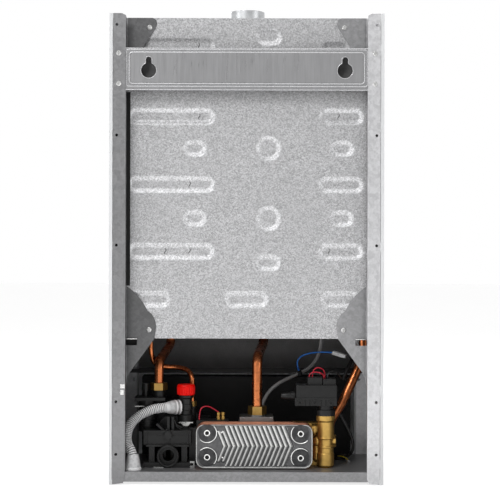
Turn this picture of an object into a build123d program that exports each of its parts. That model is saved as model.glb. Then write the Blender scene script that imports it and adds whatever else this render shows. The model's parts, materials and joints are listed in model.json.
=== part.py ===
"""Wall-hung gas boiler, open at the lower rear, hung on a keyhole bracket.

Lengths are in millimetres. The pieces are drawn in casing coordinates: x runs across the
casing from its middle, y = 0 is the wall and -y is the room side, z = 0 is the lowest edge.
keep() moves each finished piece so that the origin lies midway between the two keyholes.
"""
from build123d import *
import math
import os

# Overall casing
width = 420.0
height = 720.0
depth = 258.0
sheet = 1.2
seat = 0.3
fit_gap = 0.05

# Side frames and outer skins
half = width / 2
rail_outer = half - 5.5
rail_inner = half - 25.0
rail_lip_depth = 12.0
flange_inner = half - 29.0
frame_front = -(depth - 54.0)
hem_width = 5.0
skin = 1.0
rail_hole_r = 2.2
rail_holes_z = (45.9, 126.2, height - 354.5, height - 186.3, height - 17.4)
tab_height = 15.0
tabs_z = (33.0, 144.4, height - 355.7, height - 172.6, height - 55.0)

# Hanging bracket
bracket_low = height - 117.6
bracket_high = bracket_low + 65.0
pan_half = half - 32.5
pan_low = bracket_low + 11.5
pan_high = bracket_high - 7.6
pan_rise = 1.0
keyhole_spacing = 300.0
keyhole_r = 11.7
keyhole_z = bracket_low + 30.3
keyhole_slot_r = 4.6
keyhole_slot_z = keyhole_z + 16.3
bracket_screw_x = half - 14.2
bracket_screws_z = (bracket_low + 10.0, bracket_high - 8.4)
screw_head_r = 4.0
screw_r = 2.0

# Sealed chamber
rear_y = -25.0
panel_sheet = 1.0
chamber_low = 221.6
chamber_high = height - 3.0
emboss_depth = 4.0
emboss_draw = 7.0
chamber_mid_y = -115.0

# Tray and control box
knob_z = 78.0
knob_x = 64.0
tray_top = 19.2
tray_lip_low = 4.0
tray_front = frame_front + 22.0
hinge_y = frame_front - 8.0
hinge_z = 8.0
hinge_r = 3.0
pin_reach = 15.0
control_low = 3.0
control_back = frame_front + 16.0
cover_low = 152.0
cover_sheet = 1.0

os.makedirs("parts", exist_ok=True)


def keep(name, shape):
    export_step(Pos(0, 0, -keyhole_z) * shape, "parts/" + name + ".step")


def block(x, y, z):
    """Box between two limits on each axis."""
    size = [abs(limit[1] - limit[0]) for limit in (x, y, z)]
    middle = [(limit[0] + limit[1]) / 2 for limit in (x, y, z)]
    return Pos(*middle) * Box(*size)


def rod(start, end, radius):
    """Cylinder from one point to another."""
    line = Vector(*end) - Vector(*start)
    return Solid.make_cylinder(radius, line.length, Plane(origin=start, z_dir=line))


def tube(start, end, outer, inner):
    return rod(start, end, outer) - rod(start, end, inner)


def hexagon(start, end, across_flats):
    line = Vector(*end) - Vector(*start)
    plane = Plane(origin=start, z_dir=line)
    return extrude(plane * RegularPolygon(across_flats / 2, 6, major_radius=False), line.length)


def wall_slab(outline, rear, front):
    """Flat plate parallel to the wall, from an outline of (x, z) points."""
    face = make_face(Polyline(*[(x, rear, z) for x, z in outline], close=True))
    return extrude(face, rear - front, dir=(0, -1, 0))


def both_sides(shape):
    return shape + mirror(shape, about=Plane.YZ)


def turned(profile, x, y):
    """Solid of revolution about a vertical axis, from (radius, z) points."""
    outline = Polyline(*[(x + r, y, z) for r, z in profile], close=True)
    return revolve(make_face(outline), Axis((x, y, 0), (0, 0, 1)))


def turned_about(profile, start, direction):
    """Solid of revolution about any axis, from (radius, distance along it) points."""
    plane = Plane(origin=start, z_dir=direction)
    outline = Polyline(*[(r, 0, s) for r, s in profile], close=True)
    return plane * revolve(make_face(outline), Axis.Z)


def bent(points, radii, outer, inner=0.0):
    """Tube or rod along straight runs joined by tangent arcs."""
    path = FilletPolyline(*points, radius=radii)
    section = Plane(origin=path @ 0, z_dir=path % 0) * Circle(outer)
    if inner:
        section = section - Plane(origin=path @ 0, z_dir=path % 0) * Circle(inner)
    return sweep(section, path)


def pan_screw(seat_point, inward, length, head_r=screw_head_r, shank_r=screw_r, head=1.8):
    """Slotted pan-head screw whose head sits on seat_point and whose shank points inward."""
    outline = Polyline((0, 0, -head), (head_r * 0.6, 0, -head), (head_r, 0, -head * 0.35), (head_r, 0, 0),
                       (shank_r, 0, 0), (shank_r, 0, length), (0, 0, length), close=True)
    dome = revolve(make_face(outline), Axis.Z)
    slot = Pos(0, 0, -head) * Box(4 * head_r, 1.0, head)
    return Plane(origin=seat_point, z_dir=inward) * (dome - slot)


# Side frames with their ears

def ear_edge_low():
    """Lower ear, an S-shaped shoulder above and a straight slant below."""
    upper = ThreePointArc((rail_inner + 1, rear_y, 303), (half - 44, rear_y, 285), (half - 57.5, rear_y, 264))
    lower = ThreePointArc(upper @ 1, (half - 67.5, rear_y, 253), (half - 70.4, rear_y, 237.9))
    rest = Polyline(lower @ 1, (half - 68, rear_y, 221), (half - 33.4, rear_y, 173.8), (half - 26, rear_y, 162),
                    (rail_inner + 1, rear_y, 150), (rail_outer - sheet, rear_y, 150),
                    (rail_outer - sheet, rear_y, 303), upper @ 0)
    return extrude(make_face(upper + lower + rest), 1.0, dir=(0, 1, 0))


ear_slot = (half - 41.0, half - 22.0)
ear_slot_z = (211.0, 220.0)
ear_screw_low = (half - 59.4, 234.8)
ear_screw_high = (half - 59.4, chamber_high - 15.0)


def side_frame():
    flange = wall_slab([(rail_inner, 8), (rail_inner + 3, 2), (rail_outer, 0),
                        (rail_outer, height), (rail_inner + 6, height),
                        (rail_inner, height - 3)], 0, -sheet)
    for z in tabs_z:
        flange += block((rail_outer, half - hem_width), (-sheet, 0),
                        (z - tab_height / 2, z + tab_height / 2))
    for z in rail_holes_z:
        flange -= rod((rail_outer - 5.7, 1, z), (rail_outer - 5.7, -3, z), rail_hole_r)
    for z in bracket_screws_z:
        flange -= rod((bracket_screw_x, 1, z), (bracket_screw_x, -3, z), screw_r + fit_gap)
    lip = block((rail_inner, rail_inner + sheet), (-rail_lip_depth, 0), (tray_top + seat, height - 4))
    lip -= block((rail_inner - 1, rail_inner + 3), (-rail_lip_depth - 1, -sheet),
                 (bracket_low - seat, bracket_high + seat))
    web = block((rail_outer - sheet, rail_outer), (frame_front, 0), (0, height))
    front = block((flange_inner, rail_outer), (frame_front, frame_front + sheet), (0, height))
    front -= rod((half - 21, frame_front - 1, 141), (half - 21, frame_front + 3, 141), 2.0)
    low_ear = ear_edge_low()
    low_ear -= block(ear_slot, (rear_y - 1, rear_y + 3), ear_slot_z)
    low_ear += block(ear_slot, (rear_y, rear_y + 4), (ear_slot_z[1], ear_slot_z[1] + 1))
    top = [(rail_outer - sheet, chamber_high), (half - 64, chamber_high), (half - 69.5, chamber_high - 3),
           (half - 71, chamber_high - 9), (half - 68, chamber_high - 17), (half - 50, chamber_high - 45),
           (half - 38, chamber_high - 57), (rail_outer - sheet, chamber_high - 57)]
    high_ear = wall_slab(top, rear_y + 1, rear_y)
    lug = block((flange_inner, flange_inner + 3), (hinge_y - 5, frame_front), (hinge_z - 6, hinge_z + 6))
    pin = rod((flange_inner + 1, hinge_y, hinge_z), (flange_inner - pin_reach, hinge_y, hinge_z), hinge_r)
    frame = flange + lip + web + front + low_ear + high_ear + lug + pin
    for x, z in (ear_screw_low, ear_screw_high):
        frame -= rod((x, rear_y + 2, z), (x, rear_y - 1, z), screw_r + fit_gap)
    return frame


right_frame = side_frame()
keep("side_frame_right", right_frame)
keep("side_frame_left", mirror(right_frame, about=Plane.YZ))


def side_skin():
    plate = block((half - skin, half), (frame_front - 1, 0), (0, height))
    hem = block((half - hem_width, half), (-skin, 0), (0, height))
    front = block((half - 14, half), (frame_front - 1, frame_front), (0, height))
    return plate + hem + front


right_skin = side_skin()
keep("side_panel_right", right_skin)
keep("side_panel_left", mirror(right_skin, about=Plane.YZ))

# Hanging bracket with two keyholes

bracket_half = rail_outer - sheet
bracket_plate = block((-bracket_half, bracket_half), (-2 * sheet, -sheet), (bracket_low, bracket_high))
bracket_plate -= block((-pan_half + sheet, pan_half - sheet), (-2 * sheet - 1, -sheet - 0.2),
                       (pan_low + sheet, pan_high - sheet))
pan = extrude(Plane(origin=(0, -sheet + pan_rise, (pan_low + pan_high) / 2), x_dir=(1, 0, 0), z_dir=(0, -1, 0))
              * RectangleRounded(2 * pan_half, pan_high - pan_low, 5), sheet)
bracket = bracket_plate + pan
for side in (-1, 1):
    x = side * keyhole_spacing / 2
    bracket -= rod((x, 2, keyhole_z), (x, -5, keyhole_z), keyhole_r)
    bracket -= rod((x, 2, keyhole_slot_z), (x, -5, keyhole_slot_z), keyhole_slot_r)
    bracket -= block((x - keyhole_slot_r, x + keyhole_slot_r), (-5, 2), (keyhole_z, keyhole_slot_z))
    for z in bracket_screws_z:
        bracket -= rod((side * bracket_screw_x, 1, z), (side * bracket_screw_x, -5, z), screw_r + fit_gap)
keep("hanging_bracket", bracket)

# Screws of the chassis, all alike

screws = []
for side in (-1, 1):
    for z in bracket_screws_z:
        screws.append(pan_screw((side * bracket_screw_x, 0, z), (0, -1, 0), 4.5))
    for x, z in (ear_screw_low, ear_screw_high):
        screws.append(pan_screw((side * x, rear_y + 1, z), (0, -1, 0), 5.0))

# Rear panel of the sealed chamber, with its pressed pockets

def pocket(x0, x1, z0, z1):
    """Long pocket with round ends and a sloping wall, pressed towards the room."""
    low = min(x0, x1)
    high = max(x0, x1)
    plane = Plane(origin=((low + high) / 2, rear_y, (z0 + z1) / 2), x_dir=(1, 0, 0), z_dir=(0, -1, 0))
    if abs((high - low) - (z1 - z0)) < 1:
        return [plane.offset(shift) * Circle((z1 - z0) / 2 - draw)
                for shift, draw in ((0, 0), (emboss_depth, emboss_draw))]
    return [plane.offset(shift) * SlotOverall(high - low - 2 * draw, z1 - z0 - 2 * draw)
            for shift, draw in ((0, 0), (emboss_depth, emboss_draw))]


row_height = 26.0
panel_span = chamber_high - chamber_low


def row_at(share):
    return chamber_low + share * panel_span


right_end = half - 25.5
left_end = -(half - 29.0)
pockets = [(right_end, 49.0, row_at(0.9142)), (left_end + 23, left_end + 68, row_at(0.9031))]
for share in (0.6932, 0.4802, 0.2713):
    pockets.append((right_end, 49.0, row_at(share)))
    pockets.append((left_end, left_end + 70.5, row_at(share)))
for share in (0.5932, 0.3753):
    pockets.append((99.0, 62.0, row_at(share)))
    pockets.append((left_end + 15, left_end + 53.5, row_at(share)))
pockets.append((-12.5, -53.0, row_at(0.2370)))
pockets.append((-13.0, -54.0, row_at(0.9415)))
pockets.append((right_end, right_end - 67.5, row_at(0.1219)))
pockets.append((34.0, -34.0, row_at(0.1219)))
pockets.append((left_end + 7, left_end + 67, row_at(0.1219)))
round_pockets = [(-33.5, row_at(0.5943)), (-33.5, row_at(0.3753))]
round_pocket_r = 19.3

rear_skin_half = rail_outer - sheet
rear_panel = block((-rear_skin_half, rear_skin_half), (rear_y - panel_sheet, rear_y),
                   (chamber_low, chamber_high - 1))
hollows = [pocket(x0, x1, z - row_height / 2, z + row_height / 2) for x0, x1, z in pockets]
hollows += [pocket(x - round_pocket_r, x + round_pocket_r, z - round_pocket_r, z + round_pocket_r)
            for x, z in round_pockets]
for mouth, floor in hollows:
    dish = loft([mouth, floor])
    inside = loft([Pos(0, -panel_sheet, 0) * mouth, Pos(0, -panel_sheet, 0) * floor])
    rear_panel += inside
    rear_panel -= dish
for x, z in (ear_screw_low, ear_screw_high):
    for side in (-1, 1):
        rear_panel -= rod((side * x, rear_y + 1, z), (side * x, rear_y - 2, z), screw_r + fit_gap)
rear_panel += both_sides(block((rear_skin_half - panel_sheet, rear_skin_half),
                               (frame_front + 34, rear_y - panel_sheet), (chamber_low + sheet, chamber_high - 1)))
keep("rear_panel", rear_panel)

# Roof, flue collar and air inlet cover

collar_r = 28.0
collar_wall = 1.0
collar_top = chamber_high + 24.0
collar_flange_r = 42.0
collar_screw_r = 36.0
inlet_x = 112.0
inlet_cover_r = 33.0

roof = block((-rear_skin_half, rear_skin_half), (frame_front + sheet, rear_y),
             (chamber_high - 1, chamber_high))
roof -= rod((0, chamber_mid_y, chamber_high - 9), (0, chamber_mid_y, chamber_high + 9), collar_r - collar_wall)
roof -= rod((inlet_x, chamber_mid_y, chamber_high - 9), (inlet_x, chamber_mid_y, chamber_high + 9), inlet_cover_r - 8)
collar = turned([(collar_r - collar_wall, chamber_high), (collar_flange_r, chamber_high),
                 (collar_flange_r, chamber_high + 1.5), (collar_r, chamber_high + 1.5),
                 (collar_r, collar_top), (collar_r - collar_wall, collar_top)], 0, chamber_mid_y)
for quarter in range(4):
    angle = math.radians(45 + 90 * quarter)
    spot = (collar_screw_r * math.cos(angle), chamber_mid_y + collar_screw_r * math.sin(angle))
    hole = rod((*spot, chamber_high - 3), (*spot, chamber_high + 3), screw_r + fit_gap)
    collar -= hole
    roof -= hole
    screws.append(pan_screw((*spot, chamber_high + 1.5), (0, 0, -1), 6.0))
keep("top_plate", roof)
keep("flue_collar", collar)
keep("chassis_screws", Compound(children=screws))
keep("air_inlet_cover", turned([(0, chamber_high), (inlet_cover_r, chamber_high),
                                (inlet_cover_r, chamber_high + 1), (inlet_cover_r - 6, chamber_high + 2),
                                (0, chamber_high + 2)], inlet_x, chamber_mid_y))

# Heights of the pieces inside the chamber

burner_low = 258.0
burner_high = 300.0
hood_top = chamber_high - 157.0
exchanger_top = hood_top - 60.0
box_top = exchanger_top - 60.0

# Floor and front of the sealed chamber

flow_pipe_r = 7.5
gas_pipe_r = 8.0
relief_pipe_r = 4.0
cable_r = 2.8
flow_up = (125.0, frame_front + 39.0)
gas_up = (-28.5, frame_front + 13.0)
return_up = (-(half - 22.0), -104.0)
relief_up = (half - 56.0, -110.0)
cable_up = (-123.0, -150.0)
pipe_gap = 0.5

chamber_floor = block((-rear_skin_half, rear_skin_half), (frame_front + sheet, rear_y - panel_sheet),
                      (chamber_low, chamber_low + sheet))
for (x, y), radius in ((flow_up, flow_pipe_r), (gas_up, gas_pipe_r), (return_up, flow_pipe_r),
                       (relief_up, relief_pipe_r), (cable_up, cable_r + 1.5)):
    chamber_floor -= rod((x, y, chamber_low - 1), (x, y, chamber_low + 3), radius + pipe_gap)
keep("chamber_floor", chamber_floor)

chamber_cover_half = half - 14 - seat
chamber_cover = block((-chamber_cover_half, chamber_cover_half), (frame_front - sheet, frame_front),
                      (chamber_low + 3, chamber_high - 1))
sight = (-44.0, (burner_high + box_top) / 2 + 2)
sight_r = 14.0
chamber_cover -= rod((sight[0], frame_front + 4, sight[1]), (sight[0], frame_front - 6, sight[1]), sight_r - 3)
keep("chamber_front_cover", chamber_cover)

seal_half = flange_inner - seat
seal = block((-seal_half, seal_half), (frame_front, frame_front + 4), (chamber_low + 3, chamber_high - 1.3))
seal -= block((-seal_half + 8, seal_half - 8), (frame_front - 6, frame_front + 14),
              (chamber_low + 11, chamber_high - 10))
keep("chamber_seal", seal)
keep("sight_glass", rod((sight[0], frame_front, sight[1]), (sight[0], frame_front + 3, sight[1]), sight_r))

# Burner, manifold and combustion box

unit_x = (-150.0, 58.0)
unit_y = (frame_front + 20.0, -52.0)
unit_mid = ((unit_x[0] + unit_x[1]) / 2, (unit_y[0] + unit_y[1]) / 2)
manifold_z = 246.0
manifold_side = 16.0
bar_count = 12
bar_pitch = (unit_x[1] - unit_x[0] - 12) / bar_count
bars_x = [unit_x[0] + 6 + bar_pitch * (index + 0.5) for index in range(bar_count)]
manifold_y = frame_front + 9.0

manifold = block((unit_x[0], unit_x[1]), (manifold_y - manifold_side / 2, manifold_y + manifold_side / 2),
                 (manifold_z - manifold_side / 2, manifold_z + manifold_side / 2))
manifold -= block((unit_x[0] + 2, unit_x[1] - 2),
                  (manifold_y - manifold_side / 2 + 2, manifold_y + manifold_side / 2 - 2),
                  (manifold_z - manifold_side / 2 + 2, manifold_z + manifold_side / 2 - 2))
for x in bars_x:
    nozzle_start = (x, manifold_y + manifold_side / 2 - 2, manifold_z)
    manifold += tube(nozzle_start, (x, unit_y[0] - seat, manifold_z), 3.0, 0.6)
keep("gas_manifold", manifold)

burner = block(unit_x, unit_y, (burner_low, burner_low + 2))
for x in bars_x:
    bar = block((x - bar_pitch / 2 + 2.5, x + bar_pitch / 2 - 2.5), (unit_y[0] + 6, unit_y[1] - 6),
                (burner_low, burner_high - 2))
    mouth = block((x - 4, x + 4), (unit_y[0], unit_y[0] + 10), (manifold_z - 5, burner_low + 6))
    mouth -= block((x - 2.5, x + 2.5), (unit_y[0] - 1, unit_y[0] + 8), (manifold_z - 3.5, burner_low - 2))
    burner += bar + mouth
    burner -= block((x - 1, x + 1), (unit_y[0] + 16, unit_y[1] - 16), (burner_high - 8, burner_high))
for x in (unit_x[0], unit_x[1] - sheet):
    burner += block((x, x + sheet), (unit_y[0], unit_y[1]), (burner_low, burner_high - 0.1))
keep("burner", burner)

box_wall = 1.0
board = 9.0


def ring_box(x, y, z, wall):
    inner_x = (x[0] + wall, x[1] - wall)
    inner_y = (y[0] + wall, y[1] - wall)
    return block(x, y, z) - block(inner_x, inner_y, (z[0] - 1, z[1] + 1))


combustion = ring_box(unit_x, unit_y, (burner_high - 0.1, box_top), box_wall)
combustion -= rod((sight[0], unit_y[0] - 1, sight[1]), (sight[0], unit_y[0] + 3, sight[1]), sight_r - 4)
combustion += block(unit_x, (unit_y[1], rear_y - panel_sheet), (box_top - 4, box_top - 2))
board_x = (unit_x[0] + box_wall, unit_x[1] - box_wall)
board_y = (unit_y[0] + box_wall, unit_y[1] - box_wall)
boards = ring_box(board_x, board_y, (burner_high, box_top), board)
boards -= rod((sight[0], unit_y[0] - 1, sight[1]), (sight[0], unit_y[0] + 20, sight[1]), sight_r - 4)

electrodes = []
for shift in (-10, 10):
    x = bars_x[3] + shift
    hole = rod((x, unit_y[0] - 1, burner_high + 12), (x, unit_y[0] + 12, burner_high + 12), 3.6)
    combustion -= hole
    boards -= hole
    electrodes.append(rod((x, unit_y[0] - 9, burner_high + 12), (x, unit_y[0], burner_high + 12), 5.5)
                      + rod((x, unit_y[0], burner_high + 12), (x, unit_y[0] + 11, burner_high + 12), 3.5)
                      + rod((x, unit_y[0] + 10, burner_high + 12), (x, unit_y[0] + 30, burner_high + 12), 1.2))
keep("combustion_box", combustion)
keep("insulation_boards", boards)
keep("electrodes", Compound(children=electrodes))

# Primary heat exchanger: copper fins on four tubes inside a shell

fin_pitch = 5.0
fin = 0.6
tube_r = 8.5
tube_z = (box_top + exchanger_top) / 2
tubes_y = [unit_y[0] + 20 + (unit_y[1] - unit_y[0] - 36) / 3 * index for index in range(4)]
exchanger = ring_box(unit_x, unit_y, (box_top, exchanger_top), sheet)
fin_x = unit_x[0] + 8
while fin_x < unit_x[1] - 6:
    exchanger += block((fin_x, fin_x + fin), (unit_y[0] + 0.5, unit_y[1] - 0.5),
                       (box_top + 14, exchanger_top - 6))
    fin_x += fin_pitch * 2
for y in tubes_y:
    exchanger += rod((unit_x[0] - 4, y, tube_z), (unit_x[1] + 4, y, tube_z), tube_r)
for side_x in (unit_x[0] - 12, unit_x[1] + 1):
    exchanger += block((side_x, side_x + 11), (tubes_y[0] - 10, tubes_y[3] + 10), (tube_z - 11, tube_z + 11))
exchanger = exchanger.clean()
keep("primary_exchanger", exchanger)

# Flue hood

hood_mouth = 66.0
hood_outer = loft([Plane.XY.offset(exchanger_top + 8) * Pos(*unit_mid) * Rectangle(unit_x[1] - unit_x[0],
                                                                                  unit_y[1] - unit_y[0]),
                   Plane.XY.offset(hood_top) * Pos(unit_mid[0], -84) * Rectangle(2 * hood_mouth, 54)])
hood_inner = loft([Plane.XY.offset(exchanger_top + 8) * Pos(*unit_mid)
                   * Rectangle(unit_x[1] - unit_x[0] - 2.4, unit_y[1] - unit_y[0] - 2.4),
                   Plane.XY.offset(hood_top) * Pos(unit_mid[0], -84) * Rectangle(2 * hood_mouth - 2.4, 51.6)])
hood = ring_box(unit_x, unit_y, (exchanger_top, exchanger_top + 8), sheet) + (hood_outer - hood_inner)
keep("flue_hood", hood)

# Fan: volute, suction box, impeller and motor, all on one axis along y

fan_x = -44.0
fan_z = hood_top + 72.0
fan_front = frame_front + 54.0
fan_back = fan_front + 38.0
volute_r = 62.0
impeller_r = 50.0
fan_wall = 1.0
shaft_r = 4.0
outlet_half = 24.0

volute = rod((fan_x, fan_back, fan_z), (fan_x, fan_front, fan_z), volute_r)
outlet = block((-outlet_half, outlet_half), (fan_front, fan_back), (fan_z, fan_z + 58))
outlet_neck = loft([Plane.XY.offset(fan_z + 58) * Pos(0, (fan_front + fan_back) / 2)
                    * Rectangle(2 * outlet_half, fan_back - fan_front),
                    Plane.XY.offset(fan_z + 74) * Pos(0, chamber_mid_y) * Circle(collar_r - collar_wall - seat)])
spigot = rod((0, chamber_mid_y, fan_z + 74), (0, chamber_mid_y, chamber_high + 12), collar_r - collar_wall - seat)
volute_in = rod((fan_x, fan_back - fan_wall, fan_z), (fan_x, fan_front + fan_wall, fan_z), volute_r - fan_wall)
outlet_in = block((-outlet_half + fan_wall, outlet_half - fan_wall),
                  (fan_front + fan_wall, fan_back - fan_wall), (fan_z, fan_z + 58))
neck_in = loft([Plane.XY.offset(fan_z + 58) * Pos(0, (fan_front + fan_back) / 2)
                * Rectangle(2 * outlet_half - 2, fan_back - fan_front - 2),
                Plane.XY.offset(fan_z + 74) * Pos(0, chamber_mid_y) * Circle(collar_r - collar_wall - seat - 1)])
spigot_in = rod((0, chamber_mid_y, fan_z + 74), (0, chamber_mid_y, chamber_high + 13),
                collar_r - collar_wall - seat - 1)
suction = block((fan_x - hood_mouth, fan_x + hood_mouth), (fan_back, -57), (hood_top, fan_z + 45))
suction_in = block((fan_x - hood_mouth + 1, fan_x + hood_mouth - 1), (fan_back + 1, -58),
                   (hood_top - 1, fan_z + 44))
fan_housing = volute + outlet + outlet_neck + spigot + suction
fan_housing -= suction_in
fan_housing -= rod((fan_x, fan_back + 2, fan_z), (fan_x, fan_back - 2, fan_z), 30)
fan_housing -= volute_in + outlet_in + neck_in + spigot_in
fan_housing -= rod((fan_x, fan_front + 3, fan_z), (fan_x, fan_front - 2, fan_z), shaft_r + 4)
keep("fan_housing", fan_housing)

motor = turned_about([(shaft_r + 0.05, 0), (38, 0), (38, 6), (32, 8), (32, 34), (28, 38), (shaft_r + 0.05, 38)],
                     (fan_x, fan_front, fan_z), (0, -1, 0))
for angle in (90, 210, 330):
    foot_x = fan_x + 44 * math.cos(math.radians(angle))
    foot_z = fan_z + 44 * math.sin(math.radians(angle))
    motor += rod((foot_x, fan_front, foot_z), (foot_x, fan_front - 5, foot_z), 7)
    motor += block((min(foot_x, fan_x) - 4, max(foot_x, fan_x) + 4), (fan_front - 5, fan_front),
                   (min(foot_z, fan_z) - 4, max(foot_z, fan_z) + 4)) - rod(
        (fan_x, fan_front + 1, fan_z), (fan_x, fan_front - 6, fan_z), 30)
keep("fan_motor", motor)

impeller_front = fan_front + 4
impeller_back = fan_back - 4
impeller = rod((fan_x, impeller_front, fan_z), (fan_x, impeller_front + 1.5, fan_z), impeller_r)
impeller += tube((fan_x, impeller_back - 1.5, fan_z), (fan_x, impeller_back, fan_z), impeller_r, 38)
blade = block((38.5, impeller_r - 0.5), (impeller_front + 1, impeller_back - 1), (-0.6, 0.6))
for index in range(24):
    impeller += Pos(fan_x, 0, fan_z) * Rot(0, 15 * index, 0) * Pos(44, 0, 0) * Rot(0, 35, 0) * Pos(-44, 0, 0) * blade
impeller += rod((fan_x, impeller_front, fan_z), (fan_x, impeller_front + 14, fan_z), 9)
impeller += rod((fan_x, fan_front - 34, fan_z), (fan_x, impeller_front + 1, fan_z), shaft_r)
keep("fan_impeller", impeller)

# Differential pressure switch with its two sensing tubes

switch_at = (62.0, -34.0, fan_z - 26.0)
switch = turned_about([(0, 0), (27, 0), (27, 8), (24, 12), (10, 14), (10, 24), (0, 24)],
                      (switch_at[0], rear_y - panel_sheet, switch_at[2]), (0, -1, 0))
keep("pressure_switch", switch)

# Expansion vessel

vessel_x = (half - 112.0, half - 32.0)
vessel_y = (frame_front + 12.0, rear_y - 8)
vessel_z = (284.0, chamber_high - 17.0)
vessel_wall = 1.2
vessel_corner = 18.0


def cushion(less):
    body = block((vessel_x[0] + less, vessel_x[1] - less), (vessel_y[0] + less, vessel_y[1] - less),
                 (vessel_z[0] + less, vessel_z[1] - less))
    return fillet(body.edges(), vessel_corner - less)


vessel = cushion(0)
vessel += block(vessel_x, ((vessel_y[0] + vessel_y[1]) / 2 - 2,
                (vessel_y[0] + vessel_y[1]) / 2 + 2), (vessel_z[0] + 18, vessel_z[1] - 18))
for strap_z in (vessel_z[0] + 116, vessel_z[1] - 100):
    vessel += block((vessel_x[0] + 22, vessel_x[1] - 22), (vessel_y[1] - 20, rear_y - panel_sheet),
                    (strap_z, strap_z + 4))
vessel -= cushion(vessel_wall)
vessel += rod((relief_up[0], relief_up[1], vessel_z[0] - 12), (relief_up[0], relief_up[1], vessel_z[0] + 1), 7)
vessel -= rod((relief_up[0], relief_up[1], vessel_z[0] - 13), (relief_up[0], relief_up[1], vessel_z[0] + 3),
              relief_pipe_r + 0.1)
keep("expansion_vessel", vessel)

# Tray under the hydraulics, with the threaded ends that pass through it

thread_large_r = 13.2
thread_small_r = 10.5
thread_low = 3.5
thread_high = 17.5
neck_less = 2.4
flow_end = (118.0, -72.0)
hot_end = (62.0, -78.0)
gas_end = (-17.4, -92.0)
cold_end = (-86.0, -78.0)
return_end = (-124.5, -50.0)
drain_at = (174.5, -22.0)
gland_at = (-150.0, -130.0)
thread_wall = 4.0
tray_hole_r = 8.0
hole_top = 30.0
ends = ((flow_end, thread_large_r), (hot_end, thread_small_r), (gas_end, thread_large_r),
        (cold_end, thread_small_r), (return_end, thread_large_r))

tray_half = rail_outer - sheet
tray = block((-tray_half, tray_half), (tray_front, -sheet), (tray_top - sheet, tray_top))
tray += block((-tray_half, tray_half), (-2 * sheet, -sheet), (tray_lip_low, tray_top))
tray += block((-tray_half, tray_half), (tray_front, tray_front + sheet), (tray_lip_low + 4, tray_top))
for (x, y), radius in ends:
    tray -= rod((x, y, 0), (x, y, hole_top), radius - neck_less + pipe_gap)
tray -= rod((*drain_at, 0), (*drain_at, hole_top), tray_hole_r)
tray -= rod((*gland_at, 0), (*gland_at, hole_top), tray_hole_r)
keep("bottom_tray", tray)

stubs = []
for (x, y), radius in ends:
    stub = tube((x, y, thread_low), (x, y, thread_high), radius, radius - thread_wall)
    stub += tube((x, y, thread_high), (x, y, tray_top), radius - neck_less, radius - thread_wall)
    stubs.append(stub)
keep("water_connections", Compound(children=stubs))

crossbar_low = 153.0
crossbar_back = frame_front + 14.0
crossbar_lip = 6.0
crossbar_sheet = 1.2
crossbar = block((-tray_half, tray_half), (frame_front + sheet, crossbar_back), (crossbar_low, crossbar_low + crossbar_sheet))
crossbar += block((-tray_half, tray_half), (crossbar_back - crossbar_sheet, crossbar_back),
                  (crossbar_low, crossbar_low + crossbar_lip))
keep("front_crossbar", crossbar)

# Hydraulic block: composite body with the pump volute, ports and air vent

pump_at = (118.0, 72.0)
pump_back = -112.0
motor_r = 44.0
motor_length = pump_back - control_back - 8.0
valve_at = (95.8, -85.0)
nut_at = (139.9, -100.0)
vent_at = (161.5, -100.0)
column_at = (157.5, -90.0)
port_at = (121.7, 36.9)
body_back = -50.0
arm_back = -66.0
arm_front = -90.0
exchanger_port_r = 8.0
shaft_small = 4.0
relief_tap = (86.9, -103.0)
foot_top = 27.0
body_z = (53.5, 75.6)
leg_z = (20.0, 52.0)
leg_y = (-96.0, -48.0)
head_z = (118.5, 123.5)
column_r = 14.0
column_rim_r = 15.5
column_rim_z = (84.0, 86.0)
nut_seat_r = 11.0
nut_seat_z = 134.0
valve_seat_r = 13.0
valve_seat_z = 93.0
vent_top = 145.0
web_y = (-80.0, -56.0)
web_z = (70.0, 96.0)
tap_r = 6.5
tap_top = 108.0
port_boss_r = 16.5
port_step_r = 14.0
port_bore = 9.0
volute_r = 23.0
volute_bore = 20.0
impeller_back = -96.0
plate_port_z = (38.3, 75.7)
boss_at = (122.0, 68.0)
blank = 1.0

hydraulic = block((86, 160.5), (pump_back, body_back), body_z)
hydraulic += block((89, 156.5), (-100, -45), (51, 54))
hydraulic += block((86, 160), (pump_back, -40), (tray_top, foot_top))
for leg_x in ((92, 101), (143, 152)):
    hydraulic += block(leg_x, leg_y, leg_z)
hydraulic += rod((port_at[0], -100, port_at[1]), (port_at[0], -36, port_at[1]), port_boss_r)
hydraulic += rod((*column_at, web_z[0]), (*column_at, 119), column_r)
hydraulic += rod((*column_at, column_rim_z[0]), (*column_at, column_rim_z[1]), column_rim_r)
hydraulic += block((129, 177), (-117, -78), head_z)
hydraulic += rod((*nut_at, 100), (*nut_at, nut_seat_z), nut_seat_r)
hydraulic += rod((*vent_at, 120), (*vent_at, 133), 4) + rod((*vent_at, 133), (*vent_at, vent_top), 6)
hydraulic += rod((*valve_at, web_z[0]), (*valve_at, valve_seat_z), valve_seat_r)
for web_x in ((113, 117), (120, 124)):
    hydraulic += block(web_x, web_y, web_z)
hydraulic += rod((*relief_tap, web_z[0]), (*relief_tap, tap_top), tap_r)
hydraulic += rod((pump_at[0], pump_back, pump_at[1]), (pump_at[0], -90, pump_at[1]), volute_r)
hydraulic += block((28, 78), (arm_front, arm_back), (tray_top, 90))
hydraulic += block((76, 90), (arm_front, arm_back), (tray_top, 78))
hydraulic += rod((boss_at[0], body_back, boss_at[1]), (boss_at[0], body_back + 4, boss_at[1]), 6)
hydraulic += wall_slab([(139, 86), (142, 84), (127, 70), (124, 72)], -56, -75)
hydraulic -= rod((port_at[0], -48, port_at[1]), (port_at[0], -30, port_at[1]), port_step_r)
hydraulic -= rod((port_at[0], -70, port_at[1]), (port_at[0], -30, port_at[1]), port_bore)
hydraulic -= rod((pump_at[0], pump_back - blank, pump_at[1]), (pump_at[0], impeller_back, pump_at[1]), volute_bore)
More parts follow.
